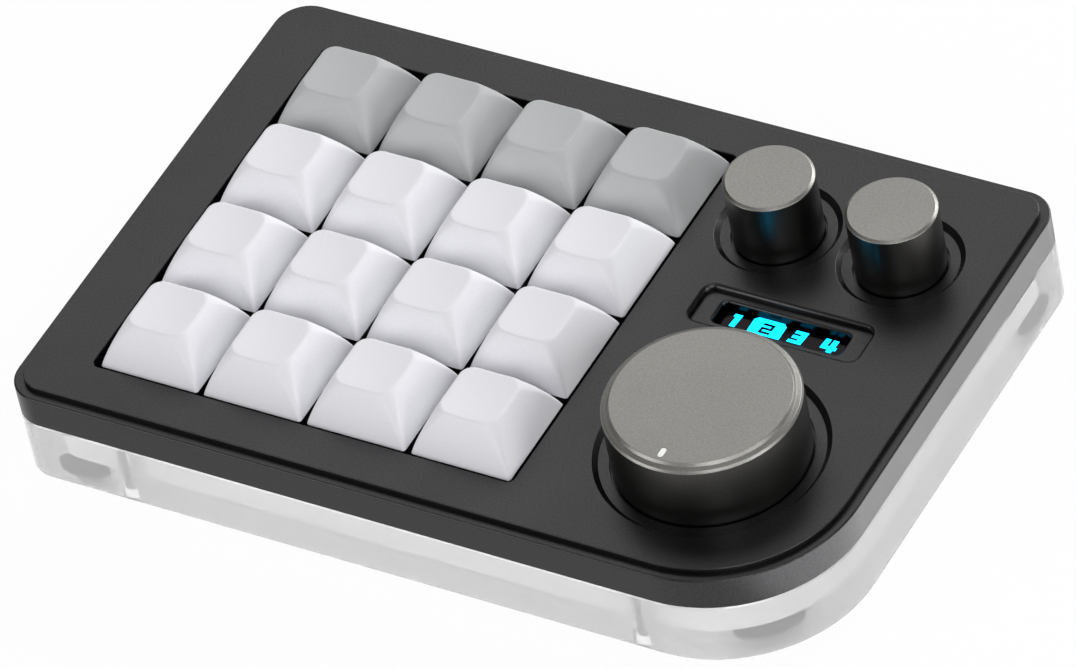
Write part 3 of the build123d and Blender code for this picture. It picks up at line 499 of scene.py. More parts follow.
# ---- Meshes ----------------------------------------------------------------
class Skin:
    """Closed mesh that grows from loops of points, given in millimetres."""

    SHARP = math.radians(33)      # edges that turn by more than this stay crisp

    def __init__(self) -> None:
        """Starts with no faces."""
        self.mesh = bmesh.new()

    def loop(self, points: Sequence[Place]) -> Loop:
        """Adds a loop of points in space.

        Args:
            points: The loop's points.

        Returns:
            Its vertices.
        """
        return [self.mesh.verts.new([c * MM for c in point]) for point in points]

    def ring(self, outline: Sequence[Point], z: float) -> Loop:
        """Adds a level loop.

        Args:
            outline: The loop seen from above.
            z: Its level.

        Returns:
            Its vertices.
        """
        return self.loop([(x, y, z) for x, y in outline])

    def wall(self, *loops: Loop, material: int = 0) -> None:
        """Joins each loop to the next one with four-sided faces.

        Args:
            *loops: Loops with as many vertices each.
            material: Number of the finish on the faces.
        """
        for low, high in zip(loops, loops[1:]):
            for i, corner in enumerate(low):
                before = i - 1
                face = self.mesh.faces.new((low[before], corner, high[i], high[before]))
                face.material_index = material

    def flat(self, *loops: Loop, material: int = 0) -> None:
        """Fills a flat face between an outer loop and the loops of its holes.

        Args:
            *loops: The outer loop and the holes.
            material: Number of the finish on the face.
        """
        edges = []
        for loop in loops:
            for i, corner in enumerate(loop):
                pair = (loop[i - 1], corner)
                edges.append(self.mesh.edges.get(pair) or self.mesh.edges.new(pair))
        made = bmesh.ops.triangle_fill(self.mesh, use_beauty=True, edges=edges)
        for item in made["geom"]:
            if isinstance(item, bmesh.types.BMFace):
                item.material_index = material

    def pierce(self, hole: Loop) -> None:
        """Cuts a loop out of the flat face that it lies in.

        Args:
            hole: The loop.
        """
        through = normal([corner.co for corner in hole[:3]])
        level = hole[0].co
        face = min(
            self.mesh.faces, key=lambda f: sum(abs((v.co - level).dot(through)) for v in f.verts)
        )
        corners, material = list(face.verts), face.material_index
        self.mesh.faces.remove(face)
        self.flat(corners, hole, material=material)

    def lathe(
        self, centre: Point, profile: Sequence[Point], steps: int = 96, material: int = 0
    ) -> tuple[Loop, Loop]:
        """Turns a profile round an upright axis.

        Args:
            centre: Place of the axis.
            profile: Radius and level of each of its points.
            steps: Number of points round the axis.
            material: Number of the finish on the faces.

        Returns:
            The first and the last loop.
        """
        loops = [self.ring(circle(centre, radius, steps), z) for radius, z in profile]
        self.wall(*loops, material=material)
        return loops[0], loops[-1]

    def piece(self, name: str, *finishes: Surface) -> bpy.types.Object:
        """Turns the loops and faces into an object with smooth curves and crisp edges.

        Args:
            name: Name of the object.
            *finishes: Its finishes, in the order of their numbers.

        Returns:
            The object, with its place in its mesh.
        """
        bmesh.ops.recalc_face_normals(self.mesh, faces=self.mesh.faces)
        for face in self.mesh.faces:
            face.smooth = True
        for edge in self.mesh.edges:
            edge.smooth = edge.is_manifold and edge.calc_face_angle() < self.SHARP
        data = bpy.data.meshes.new(name)
        self.mesh.to_mesh(data)
        self.mesh.free()
        for finish in finishes:
            data.materials.append(finish.material())
        made = bpy.data.objects.new(name, data)
        bpy.context.scene.collection.objects.link(made)
        weighted = made.modifiers.new("even_shading", "WEIGHTED_NORMAL")
        weighted.keep_sharp = True
        return bake(made)


def bake(piece: bpy.types.Object) -> bpy.types.Object:
    """Turns what an object's modifiers make into its own plain mesh.

    Args:
        piece: Object with modifiers.

    Returns:
        The same object, with no modifier left.
    """
    seen = piece.evaluated_get(bpy.context.evaluated_depsgraph_get())
    data = bpy.data.meshes.new_from_object(seen)
    data.name = piece.name
    piece.modifiers.clear()
    piece.data = data
    return piece


def seat(piece: bpy.types.Object, body: str, slot: str, *nodes: str) -> None:
    """Seats a finished piece in the frame and reports it.

    Args:
        piece: The finished piece.
        body: CAD body that it rides on.
        slot: The record's material slot for the piece; not used.
        *nodes: CAD nodes that it stands for.
    """
    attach(piece, body)
    if nodes:
        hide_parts(*nodes)
    log.info("%s rides on %s with %d faces", piece.name, body, len(piece.data.polygons))


def box_of(node: str) -> tuple[Vector, Vector]:
    """Gives a CAD node's lowest and highest corners in millimetres."""
    low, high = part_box(node)
    return low / MM, high / MM


def middle_of(node: str) -> Point:
    """Gives the middle of a CAD node seen from above, in millimetres."""
    low, high = box_of(node)
    return (low.x + high.x) / 2, (low.y + high.y) / 2


# ---- Geometry node trees ---------------------------------------------------
def new_geometry_tree(
    name: str, inputs: Sequence[tuple[str, str]]
) -> tuple[bpy.types.NodeTree, bpy.types.Node]:
    """Starts a geometry node tree.

    Args:
        name: Name of the tree.
        inputs: Name and socket type of each input after the geometry.

    Returns:
        The tree and its input node.
    """
    tree = bpy.data.node_groups.new(name, "GeometryNodeTree")
    tree.interface.new_socket("Geometry", in_out="OUTPUT", socket_type="NodeSocketGeometry")
    tree.interface.new_socket("Geometry", in_out="INPUT", socket_type="NodeSocketGeometry")
    for label, kind in inputs:
        tree.interface.new_socket(label, in_out="INPUT", socket_type=kind)
    return tree, add_node(tree, "NodeGroupInput")


def end_tree(tree: bpy.types.NodeTree, geometry: bpy.types.NodeSocket, finish: bpy.types.NodeSocket) -> None:
    """Ends a tree with real geometry in one finish.

    Args:
        tree: The tree.
        geometry: Socket that gives the geometry.
        finish: Socket that gives the material.
    """
    real = add_node(tree, "GeometryNodeRealizeInstances", {0: geometry})
    dressed = add_node(
        tree, "GeometryNodeSetMaterial", {"Geometry": real.outputs[0], "Material": finish}
    )
    add_node(tree, "NodeGroupOutput", {0: dressed.outputs[0]})


def scatter_tree() -> bpy.types.NodeTree:
    """Builds the tree that sets a copy of one piece at each vertex of a carrier mesh."""
    tree, start = new_geometry_tree(
        "copies_at_places", (("Copy", "NodeSocketObject"), ("Finish", "NodeSocketMaterial"))
    )
    source = add_node(tree, "GeometryNodeObjectInfo", {"Object": start.outputs["Copy"]})
    copies = add_node(
        tree,
        "GeometryNodeInstanceOnPoints",
        {"Points": start.outputs["Geometry"], "Instance": source.outputs["Geometry"]},
    )
    end_tree(tree, copies.outputs[0], start.outputs["Finish"])
    return tree


def coil_tree(turn_steps: int = 24, wire_steps: int = 8) -> bpy.types.NodeTree:
    """Builds the tree that winds a round wire into an upright coil.

    Args:
        turn_steps: Points along one turn.
        wire_steps: Points round the wire.

    Returns:
        The tree.
    """
    tree, start = new_geometry_tree(
        "wound_wire",
        (
            ("Turns", "NodeSocketFloat"),
            ("Coil Radius", "NodeSocketFloat"),
            ("Wire Radius", "NodeSocketFloat"),
            ("Height", "NodeSocketFloat"),
            ("Foot", "NodeSocketVector"),
            ("Finish", "NodeSocketMaterial"),
        ),
    )
    path = add_node(
        tree,
        "GeometryNodeCurveSpiral",
        {
            "Resolution": turn_steps,
            "Rotations": start.outputs["Turns"],
            "Start Radius": start.outputs["Coil Radius"],
            "End Radius": start.outputs["Coil Radius"],
            "Height": start.outputs["Height"],
        },
    )
    section = add_node(
        tree,
        "GeometryNodeCurvePrimitiveCircle",
        {"Resolution": wire_steps, "Radius": start.outputs["Wire Radius"]},
    )
    wire = add_node(
        tree,
        "GeometryNodeCurveToMesh",
        {"Curve": path.outputs[0], "Profile Curve": section.outputs[0], "Fill Caps": True},
    )
    placed = add_node(
        tree, "GeometryNodeTransform", {"Geometry": wire.outputs[0], "Translation": start.outputs["Foot"]}
    )
    smooth = add_node(tree, "GeometryNodeSetShadeSmooth", {"Geometry": placed.outputs[0]})
    end_tree(tree, smooth.outputs[0], start.outputs["Finish"])
    return tree


def grow(
    name: str, tree: bpy.types.NodeTree, values: dict[str, object], places: Sequence[Place] = ()
) -> bpy.types.Object:
    """Makes a piece with a geometry node tree.

    Args:
        name: Name of the piece.
        tree: Tree that makes it.
        values: Value of each of the tree's inputs by name.
        places: Vertices of the carrier mesh, in millimetres.

    Returns:
        The piece as a plain mesh.
    """
    carrier = bpy.data.meshes.new(name)
    carrier.from_pydata([[c * MM for c in place] for place in places], [], [])
    piece = bpy.data.objects.new(name, carrier)
    bpy.context.scene.collection.objects.link(piece)
    modifier = piece.modifiers.new(tree.name, "NODES")
    modifier.node_group = tree
    for socket in tree.interface.items_tree:
        if socket.in_out == "INPUT" and socket.name in values:
            modifier[socket.identifier] = values[socket.name]
    return bake(piece)


def set_out(
    name: str, one: bpy.types.Object, tree: bpy.types.NodeTree, places: Sequence[Point]
) -> bpy.types.Object:
    """Sets a copy of one part at each place and clears the part away.

    Args:
        name: Name of the group of copies.
        one: The part, with its axis at the origin.
        tree: Tree that sets the copies.
        places: The copies' axes.

    Returns:
        The copies as a plain mesh.
    """
    values = {"Copy": one, "Finish": one.data.materials[0]}
    copies = grow(name, tree, values, [(x, y, 0.0) for x, y in places])
    bpy.data.objects.remove(one)
    return copies


# ---- Case ------------------------------------------------------------------
@dataclass
class Knob:
    """One knob: its place, its outside and its bore."""

    name: str
    recess_margin: float          # recess beyond the knob
    path: tuple[tuple[float, float, float], ...]    # inset, drop below the top and corner radius

    edge_break = 0.15             # small rounding at the foot
    foot_zone = 2.0               # the rounding lies below this height
    pocket_gap = 0.3              # knob to the edge of its pocket
    roof = 3.0                    # metal above the shaft's end
    bore_radius = 3.02
    bore_flat = 1.52              # flat's distance from the axis

    def __post_init__(self) -> None:
        """Takes the knob's place and size from its CAD node."""
        low, high = box_of(self.name)
        self.centre: Point = middle_of(self.name)
        self.radius = (high.x - low.x) / 2
        self.foot_z, self.top_z = low.z, high.z

    def bore(self) -> list[Point]:
        """Outlines the D-shaped bore, with its flat to the back."""
        rise = math.degrees(math.asin(self.bore_flat / self.bore_radius))
        return arc(self.centre, self.bore_radius, 180 - rise, 360 + rise, 40)

    def side_profile(self) -> list[Point]:
        """Gives the outside from the foot to the top face's edge, as radius and level."""
        path = [
            (self.radius - LEAD, self.foot_z, 0),
            (self.radius, self.foot_z, self.edge_break),
            *((self.radius - inset, self.top_z - drop, round_) for inset, drop, round_ in self.path),
            (self.radius - self.path[-1][0] - LEAD, self.top_z, 0),
        ]
        return rounded(path)[1:-1]

    def outside(self, skin: Skin) -> tuple[Loop, Loop]:
        """Builds the turned side and the blasted edge above it.

        Args:
            skin: Mesh of the knob.

        Returns:
            The loop at the foot and the loop at the top face's edge.
        """
        profile = self.side_profile()
        shoulder = next(i for i, (_, z) in enumerate(profile) if z > self.foot_z + self.foot_zone)
        loops = [skin.ring(circle(self.centre, radius, ROUND_STEPS), z) for radius, z in profile]
        # The upright side takes the colour painted darker as shade; the edge above takes the face metal.
        skin.wall(*loops[: shoulder + 1])
        skin.wall(*loops[shoulder:], material=1)
        return loops[0], loops[-1]

    def close_inside(self, skin: Skin, foot: Loop) -> None:
        """Closes the underside of a solid knob round its bore.

        Args:
            skin: Mesh of the knob.
            foot: Loop at the knob's foot.
        """
        low = skin.ring(self.bore(), self.foot_z)
        high = skin.ring(self.bore(), self.top_z - self.roof)
        skin.flat(foot, low)
        skin.wall(low, high)
        skin.flat(high)

    def close_top(self, skin: Skin, edge: Loop) -> None:
        """Closes the top face.

        Args:
            skin: Mesh of the knob.
            edge: Loop at the face's edge.
        """
        skin.flat(edge, material=1)

    def build(self) -> None:
        """Builds the knob and seats it on its dial."""
        skin = Skin()
        foot, edge = self.outside(skin)
        self.close_top(skin, edge)
        self.close_inside(skin, foot)
        body = self.name.replace("_knob", "_dial")
        # The first finish is the side's colour, painted darker as shade.
        piece = skin.piece(f"{self.name}_turned", KNOB_SIDE_SHADED_METAL, KNOB_FACE_METAL)
        seat(piece, body, "knob_aluminium", self.name)


@dataclass
class MainKnob(Knob):
    """Large knob: hollow skirt, hub, and a white mark let into its top face."""

    skirt = 2.2
    hub_radius = 5.5
    web = 4.0                     # metal above the hollow
    mark_length = 2.0
    mark_width = 1.0
    mark_depth = 0.6
    mark_fit = 0.02               # between the mark and its slot
    mark_chamfer = (0.04, 0.06)   # in from the mark's side, and down

    def mark_outline(self, growth: float) -> list[Point]:
        """Outlines the mark, which points at the user, grown all round."""
        low, high = box_of("main_knob_pointer")
        middle_y = (low.y + high.y) / 2 - self.centre[1]
        along = stadium((0, 0), self.mark_length + 2 * growth, self.mark_width + 2 * growth)
        return [(self.centre[0] - y, self.centre[1] + middle_y + x) for x, y in along]

    def close_top(self, skin: Skin, edge: Loop) -> None:
        """Closes the top face round the mark's slot."""
        high = skin.ring(self.mark_outline(self.mark_fit), self.top_z)
        low = skin.ring(self.mark_outline(self.mark_fit), self.top_z - self.mark_depth)
        skin.flat(edge, high, material=1)
        skin.wall(high, low, material=1)
        skin.flat(low, material=1)

    def close_inside(self, skin: Skin, foot: Loop) -> None:
        """Closes the hollow skirt, the web and the hub."""
        web_z = self.top_z - self.web
        hollow = ((self.radius - self.skirt, self.foot_z), (self.radius - self.skirt, web_z))
        hub = ((self.hub_radius, web_z), (self.hub_radius, self.foot_z))
        first, roof = skin.lathe(self.centre, hollow)
        rim, last = skin.lathe(self.centre, hub)
        skin.flat(foot, first)
        skin.flat(roof, rim)
        super().close_inside(skin, last)

    def build(self) -> None:
        """Builds the knob and its mark."""
        super().build()
        skin = Skin()
        chamfer_in, chamfer_down = self.mark_chamfer
        levels = ((0.0, self.mark_depth), (0.0, chamfer_down), (chamfer_in, 0.0))
        loops = [skin.ring(self.mark_outline(-inset), self.top_z - drop) for inset, drop in levels]
        skin.flat(loops[0])
        skin.wall(*loops)
        skin.flat(loops[-1])
        mark = skin.piece("main_knob_mark", POINTER_ENAMEL)
        seat(mark, "main_dial", "pointer_white", "main_knob_pointer")


def knobs() -> tuple[Knob, ...]:
    """Gives the three knobs."""
    chamfered = ((0.0, 0.35, 0.12), (0.5, 0.0, 0.1))
    stepped = ((0.0, 1.1, 0.12), (0.3, 0.7, 0.2), (1.05, 0.5, 0.12), (1.45, 0.0, 0.12))
    return (
        MainKnob("main_knob", 3.0, stepped),
        Knob("left_knob", 2.9, chamfered),
        Knob("right_knob", 2.9, chamfered),
    )


@dataclass
class CasePlan:
    """Plan that the top shell and the base share."""

    corner: float = 5.8
    swept_corner: float = 24.6
    wall: float = 7.0
    cutter: float = 3.0           # least inside corner

    def plan(self) -> Plan:
        """Gives the case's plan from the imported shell."""
        low, high = box_of("top_shell")
        corners = (self.corner, self.swept_corner, self.corner, self.corner)
        return Plan(low.x, high.x, low.y, high.y, corners, self.cutter)

    def outside(self, inset: float) -> list[Point]:
        """Outlines the case, drawn in by inset with true concentric corners."""
        return replace(self.plan(), smallest=0.0).outline(inset)


def case_screw_places() -> list[Point]:
    """Gives the places of the screws that hold the base to the shell."""
    low, high = box_of("case_screws")
    reach = CaseScrew.head_radius
    return [(x, y) for x in (low.x + reach, high.x - reach) for y in (low.y + reach, high.y - reach)]


def plate_screw_places() -> list[Point]:
    """Gives the places of the screws that hold the switch plate to the shell."""
    low, high = box_of("plate_screws")
    reach = CaseScrew.head_radius
    middle = (low.y + high.y) / 2
    rows = (low.y + reach, middle, high.y - reach)
    return [(x, y) for x in (low.x + reach, high.x - reach) for y in rows]


def foot_places() -> list[Point]:
    """Gives the foot centres: near three corners, and drawn in under the swept one."""
    low, high = box_of("feet")
    reach = Feet.radius
    left, right, front, back = low.x + reach, high.x - reach, low.y + reach, high.y - reach
    return [(left, front), (left, back), (right, back), (right - Feet.swept_step, front + Feet.swept_step)]


@dataclass
class TopShell:
    """Machined metal shell: rim, raised field, key opening, recesses and knob bay."""

    case: CasePlan
    rim_rise: float = 6.0         # rim above the shell's underside
    rim_width: float = 1.7
    rim_round: float = 0.3
    edge_break: float = 0.15      # small rounding on every other edge
    field_clearance: float = 0.5
    field_corner: float = 1.2
    cap_gap: float = 1.05         # between neighbouring keycaps
    rib: float = 4.0              # between the keys and the knob bay
    roof: float = 3.0             # over the knob bay
    recess_depth: float = 0.9
    pocket_depth: float = 0.8     # below a recess's floor
    bush_hole_radius: float = 3.7
    recess_round: float = 0.1     # between a recess's slope and its floor
    pocket_round: float = 0.06
    display_size: tuple[float, float, float] = (31.6, 9.4, 2.4)    # length, width, corner
    display_depth: float = 1.1    # of the recess round the display
    display_round: float = 0.8    # its rounded upper edge
    window_size: tuple[float, float, float] = (24.0, 5.8, 1.5)     # length, width, corner
    window_round: float = 0.5
    edge_steps: int = 6           # round a rounded upper edge
    board_room: float = 0.6       # by which the display's pocket is larger than its board
    wall_lean: float = 0.1        # how far a steep wall comes in
    glass_drop: float = 2.8       # display glass below the field
    thread_radius: float = 1.02
    case_thread_depth: float = 4.0
    plate_thread_depth: float = 3.4

    def __post_init__(self) -> None:
        """Takes the levels and the key field from the frame."""
        low, high = box_of("top_shell")
        self.under_z, self.field_z = low.z, high.z
        self.rim_z = self.under_z + self.rim_rise
        self.recess_z = self.field_z - self.recess_depth
        self.bay_z = self.field_z - self.roof
        self.glass_z = self.field_z - self.glass_drop
        self.skin = Skin()

    def key_opening(self) -> Plan:
        """Plans the opening round the keycaps."""
        front, back = box_of("keycap_r4c1")[0], box_of("keycap_r1c4")[1]
        grow_by = self.field_clearance + self.cap_gap / 2
        return Plan(
            front.x - grow_by, back.x + grow_by, front.y - grow_by, back.y + grow_by, (self.field_corner,) * 4
        )

    def outer_side(self) -> tuple[Loop, Loop]:
        """Builds the side wall, the rim and the riser of the raised field.

        Returns:
            The loop round the underside and the loop round the field.
        """
        path = [
            (LEAD, self.under_z, 0),
            (0.0, self.under_z, self.edge_break),
            (0.0, self.rim_z, self.rim_round),
            (self.rim_width, self.rim_z, 0),
            (self.rim_width, self.field_z, self.edge_break),
            (self.rim_width + LEAD, self.field_z, 0),
        ]
        loops = [self.skin.ring(self.case.outside(inset), z) for inset, z in rounded(path)[1:-1]]
        self.skin.wall(*loops)
        return loops[0], loops[-1]

    def sunk(self, plans: Sequence[tuple[Sequence[Point], float]]) -> tuple[Loop, Loop]:
        """Builds a wall through given outlines.

        Args:
            plans: Outline and level of each loop.

        Returns:
            The first and the last loop.
        """
        loops = [self.skin.ring(outline, z) for outline, z in plans]
        self.skin.wall(*loops)
        return loops[0], loops[-1]

    def sunk_from(
        self, plan: Plan, edge_round: float, top_z: float, floor_z: float, material: int = 0
    ) -> tuple[Loop, Loop]:
        """Builds a rounded edge and the steep wall below it.

        Args:
            plan: Plan of the recess, where its rounded edge begins.
            edge_round: Radius of the rounded edge.
            top_z: Level of the top.
            floor_z: Level of the floor.
            material: Number of the steep wall's finish.

        Returns:
            The loop at the top and the loop at the floor.
        """
        path = [
            (-LEAD, top_z, 0),
            (edge_round, top_z, edge_round),
            (edge_round + self.wall_lean, floor_z, 0),
        ]
        profile = rounded(path, self.edge_steps)[1:]
        loops = [self.skin.ring(plan.outline(inset), z) for inset, z in profile]
        self.skin.wall(*loops[:-1])
        self.skin.wall(*loops[-2:], material=material)
        return loops[0], loops[-1]

    def knob_recess(self, knob: Knob) -> tuple[Loop, Loop]:
        """Builds a knob's sloped recess, its pocket and the hole for its bush.

        Args:
            knob: Knob that stands in the recess.

        Returns:
            The loop in the field and the loop in the bay's ceiling.
        """
        outer = knob.radius + knob.recess_margin
        pocket = knob.radius + knob.pocket_gap
        pocket_z = self.recess_z - self.pocket_depth
        path = [
            (outer + LEAD, self.field_z, 0),
            (outer, self.field_z, self.edge_break),
            (outer - self.recess_depth, self.recess_z, self.recess_round),
            (pocket, self.recess_z, self.pocket_round),
            (pocket, pocket_z, 0),
            (self.bush_hole_radius, pocket_z, 0),
            (self.bush_hole_radius, self.bay_z, 0),
        ]
        return self.skin.lathe(knob.centre, rounded(path)[1:], ROUND_STEPS)

    def display_recess(self) -> tuple[Loop, Loop]:
        """Builds the display's recess, window and pocket.

        Returns:
            The loop in the field and the loop in the bay's ceiling.
        """
        centre = middle_of("display_panel")
        recess = centred_plan(centre, *self.display_size)
        window = centred_plan(centre, *self.window_size)
        floor_z = self.field_z - self.display_depth
        low, high = box_of("display_board")
        room = self.board_room
        pocket = centred_plan(centre, high.x - low.x + room, high.y - low.y + room, FACE_GAP)
        top, floor = self.sunk_from(recess, self.display_round, self.field_z, floor_z)
        # The window's steep wall takes the second finish, whose colour is painted shade.
        mouth, lip = self.sunk_from(window, self.window_round, floor_z, self.glass_z, material=1)
        self.skin.flat(floor, mouth)
        ceiling, opening = self.sunk([(pocket.outline(), self.glass_z), (pocket.outline(), self.bay_z)])
        self.skin.flat(ceiling, lip)
        return top, opening

    def blind_hole(self, place: Point, depth: float) -> Loop:
        """Builds a screw's threaded hole up from the underside.

        Args:
            place: Centre of the hole.
            depth: Depth of the hole.

        Returns:
            The loop in the underside.
        """
        levels = ((self.thread_radius, self.under_z), (self.thread_radius, self.under_z + depth))
        low, high = self.skin.lathe(place, levels, 24)
        self.skin.flat(high)
        return low

    def build(self, all_knobs: Sequence[Knob]) -> None:
        """Builds the shell round its knobs.

        Args:
            all_knobs: The three knobs.
        """
        underside, field = self.outer_side()
        keys = self.key_opening()
        path = [(-LEAD, self.field_z, 0), (0.0, self.field_z, self.edge_break), (0.0, self.under_z, 0)]
        keys_top, keys_low = self.sunk([(keys.outline(inset), z) for inset, z in rounded(path)[1:]])

        tops, lows = zip(*(self.knob_recess(knob) for knob in all_knobs))
        display_top, display_low = self.display_recess()
        self.skin.flat(field, keys_top, display_top, *tops)

        case, wall = self.case.plan(), self.case.wall
        bay = Plan(
            keys.x_high + self.rib,
            case.x_high - wall,
            case.y_low + wall,
            case.y_high - wall,
            (FACE_GAP, self.case.swept_corner - wall, self.case.cutter, FACE_GAP),
        )
        bay_low, bay_top = self.sunk([(bay.outline(), self.under_z), (bay.outline(), self.bay_z)])
        self.skin.flat(bay_top, display_low, *lows)

        holes = [self.blind_hole(place, self.case_thread_depth) for place in case_screw_places()]
        holes += [self.blind_hole(place, self.plate_thread_depth) for place in plate_screw_places()]
        self.skin.flat(underside, keys_low, bay_low, *holes)
        # The second finish is the window wall's colour, painted darker as shade.
        shell = self.skin.piece("top_shell_machined", SHELL_METAL, WINDOW_WALL_PAINTED_SHADE)
        seat(shell, "root", "anodised_aluminium", "top_shell")


@dataclass
class BaseShell:
    """Thick clear base: polished outside, milled pocket, pillars, seats and the rear inlet."""

    case: CasePlan
    floor: float = 3.0
    low_chamfer: float = 0.35
    high_chamfer: float = 0.4
    pillar_radius: float = 2.0
    pillar_round: float = 0.15
    seat_radius: float = 4.6
    seat_depth: float = 0.5
    counterbore_radius: float = 2.3
    counterbore_depth: float = 2.8
    screw_hole_radius: float = 1.15
    notch_half: float = 7.07
    notch_wall: float = 1.5
    inlet_growth: float = 0.25    # opening round the inlet
    outside_round: float = 0.1

    def __post_init__(self) -> None:
        """Takes the levels from the frame."""
        low, high = box_of("base_shell")
        self.low_z, self.high_z = low.z, high.z - FACE_GAP
        self.pocket_z = self.low_z + self.floor
        self.back_y = high.y
        self.skin = Skin()

    def pocket_outline(self) -> list[Point]:
        """Outlines the pocket, with the notch behind the inlet."""
        outline = self.case.plan().outline(self.case.wall)
        turn = max(range(len(outline)), key=lambda i: outline[i - 1][0] - outline[i][0])
        edge_y, deep_y = outline[turn][1], self.back_y - self.notch_wall
        middle = middle_of("usb_c_port")[0]
        right, left = middle + self.notch_half, middle - self.notch_half
        notch = [(right, edge_y), (right, deep_y), (left, deep_y), (left, edge_y)]
        return outline[:turn] + notch + outline[turn:]

    def outer_side(self) -> tuple[Loop, Loop]:
        """Builds the polished outside.

        Returns:
            The loop round the bottom and the loop round the top.
        """
        path = [
            (LEAD, self.low_z, 0),
            (self.low_chamfer, self.low_z, self.outside_round),
            (0.0, self.low_z + self.low_chamfer, self.outside_round),
            (0.0, self.high_z - self.high_chamfer, self.outside_round),
            (self.high_chamfer, self.high_z, self.outside_round),
            (LEAD, self.high_z, 0),
        ]
        loops = [self.skin.ring(self.case.outside(inset), z) for inset, z in rounded(path, 3)[1:-1]]
        self.skin.wall(*loops)
        return loops[0], loops[-1]

    def pillars(self) -> list[Loop]:
        """Builds the board's pillars.

        Returns:
            Each pillar's loop in the pocket's floor.
        """
        board_z = box_of("circuit_board")[0].z - FACE_GAP
        caps = [middle_of(f"keycap_r{row}c{column}") for row, column in ((1, 1), (2, 2), (3, 3), (4, 4))]
        pitch = caps[1][0] - caps[0][0]
        field_x = (caps[0][0] + caps[3][0]) / 2
        knob_x, display_y = middle_of("main_knob")[0], middle_of("display_panel")[1]
        places = [(field_x + side * pitch, end * pitch) for side in (-1, 1) for end in (-1, 1)]
        places += [(knob_x, display_y), middle_of("right_knob")]
        feet = []
        for place in places:
            path = [
                (self.pillar_radius, self.pocket_z, 0),
                (self.pillar_radius, board_z, self.pillar_round),
                (self.pillar_radius - LEAD, board_z, 0),
            ]
            low, high = self.skin.lathe(place, rounded(path)[:-1], 32, material=1)
            self.skin.flat(high, material=1)
            feet.append(low)
        return feet

    def foot_seats(self) -> list[Loop]:
        """Builds the shallow round seats of the feet and gives their loops in the bottom."""
        loops = []
        for place in foot_places():
            levels = ((self.seat_radius, self.low_z), (self.seat_radius, self.low_z + self.seat_depth))
            low, high = self.skin.lathe(place, levels, 48, material=2)
            self.skin.flat(high, material=2)
            loops.append(low)
        return loops

    def screw_holes(self) -> tuple[list[Loop], list[Loop]]:
        """Builds the counterbored screw holes.

        Returns:
            Their loops in the bottom and their loops in the top.
        """
        lows, highs = [], []
        seat_z = self.low_z + self.counterbore_depth
        for place in case_screw_places():
            levels = (
                (self.counterbore_radius, self.low_z),
                (self.counterbore_radius, seat_z),
                (self.screw_hole_radius, seat_z),
                (self.screw_hole_radius, self.high_z),
            )
            low, high = self.skin.lathe(place, levels, 32)
            lows.append(low)
            highs.append(high)
        return lows, highs

    def inlet_opening(self) -> None:
        """Cuts the inlet's opening through the thin wall behind the notch."""
        low, high = box_of("usb_c_port")
        centre = ((low.x + high.x) / 2, (low.z + high.z) / 2)
        outline = stadium(
            centre, high.x - low.x + 2 * self.inlet_growth, high.z - low.z + 2 * self.inlet_growth
        )
        inner_y = self.back_y - self.notch_wall
        loops = [self.skin.loop([(x, y, z) for x, z in outline]) for y in (self.back_y, inner_y)]
        self.skin.wall(*loops)
        for hole in loops:
            self.skin.pierce(hole)

    def build(self) -> None:
        """Builds the base."""
        bottom, top = self.outer_side()
        pocket = self.pocket_outline()
        mouth = self.skin.ring(pocket, self.high_z)
        floor = self.skin.ring(pocket, self.pocket_z)
        self.skin.wall(mouth, floor, material=1)
        self.skin.flat(floor, *self.pillars(), material=1)
        lows, highs = self.screw_holes()
        self.skin.flat(top, mouth, *highs, material=1)
        self.skin.flat(bottom, *self.foot_seats(), *lows)
        self.inlet_opening()
        base = self.skin.piece("base_shell_acrylic", POLISHED_ACRYLIC, MILLED_ACRYLIC, FOOT_ADHESIVE)
        seat(base, "root", "clear_acrylic", "base_shell")


# ---- Feet and screws -------------------------------------------------------
@dataclass
class Feet:
    """Round rubber feet let into the base."""

    radius = 4.5
    swept_step = 6.0              # the foot under the swept corner lies this much further in
    edge = 0.4                    # chamfer round the underside
    edge_round = 0.15
    grip_radius = 3.2             # shallow dish in the underside
    grip_depth = 0.25
    grip_round = 0.1
    pole = 0.4                    # radius of the small middle face

    def build(self, tree: bpy.types.NodeTree) -> None:
        """Builds one foot and sets a copy at each place.

        Args:
            tree: Tree that sets the copies.
        """
        high_z = box_of("feet")[1].z - FACE_GAP
        skin = Skin()
        path = [
            (self.pole, self.grip_depth, 0),
            (self.grip_radius - self.grip_depth, self.grip_depth, self.grip_round),
            (self.grip_radius, 0.0, self.grip_round),
            (self.radius - self.edge, 0.0, self.edge_round),
            (self.radius, self.edge, self.edge_round),
            (self.radius, high_z, self.grip_round),
            (self.pole, high_z, 0),
        ]
        low, high = skin.lathe((0, 0), rounded(path), 64)
        skin.flat(low)
        skin.flat(high)
        feet = set_out("feet_rubber", skin.piece("foot", FOOT_RUBBER), tree, foot_places())
        seat(feet, "root", "foot_rubber", "feet")


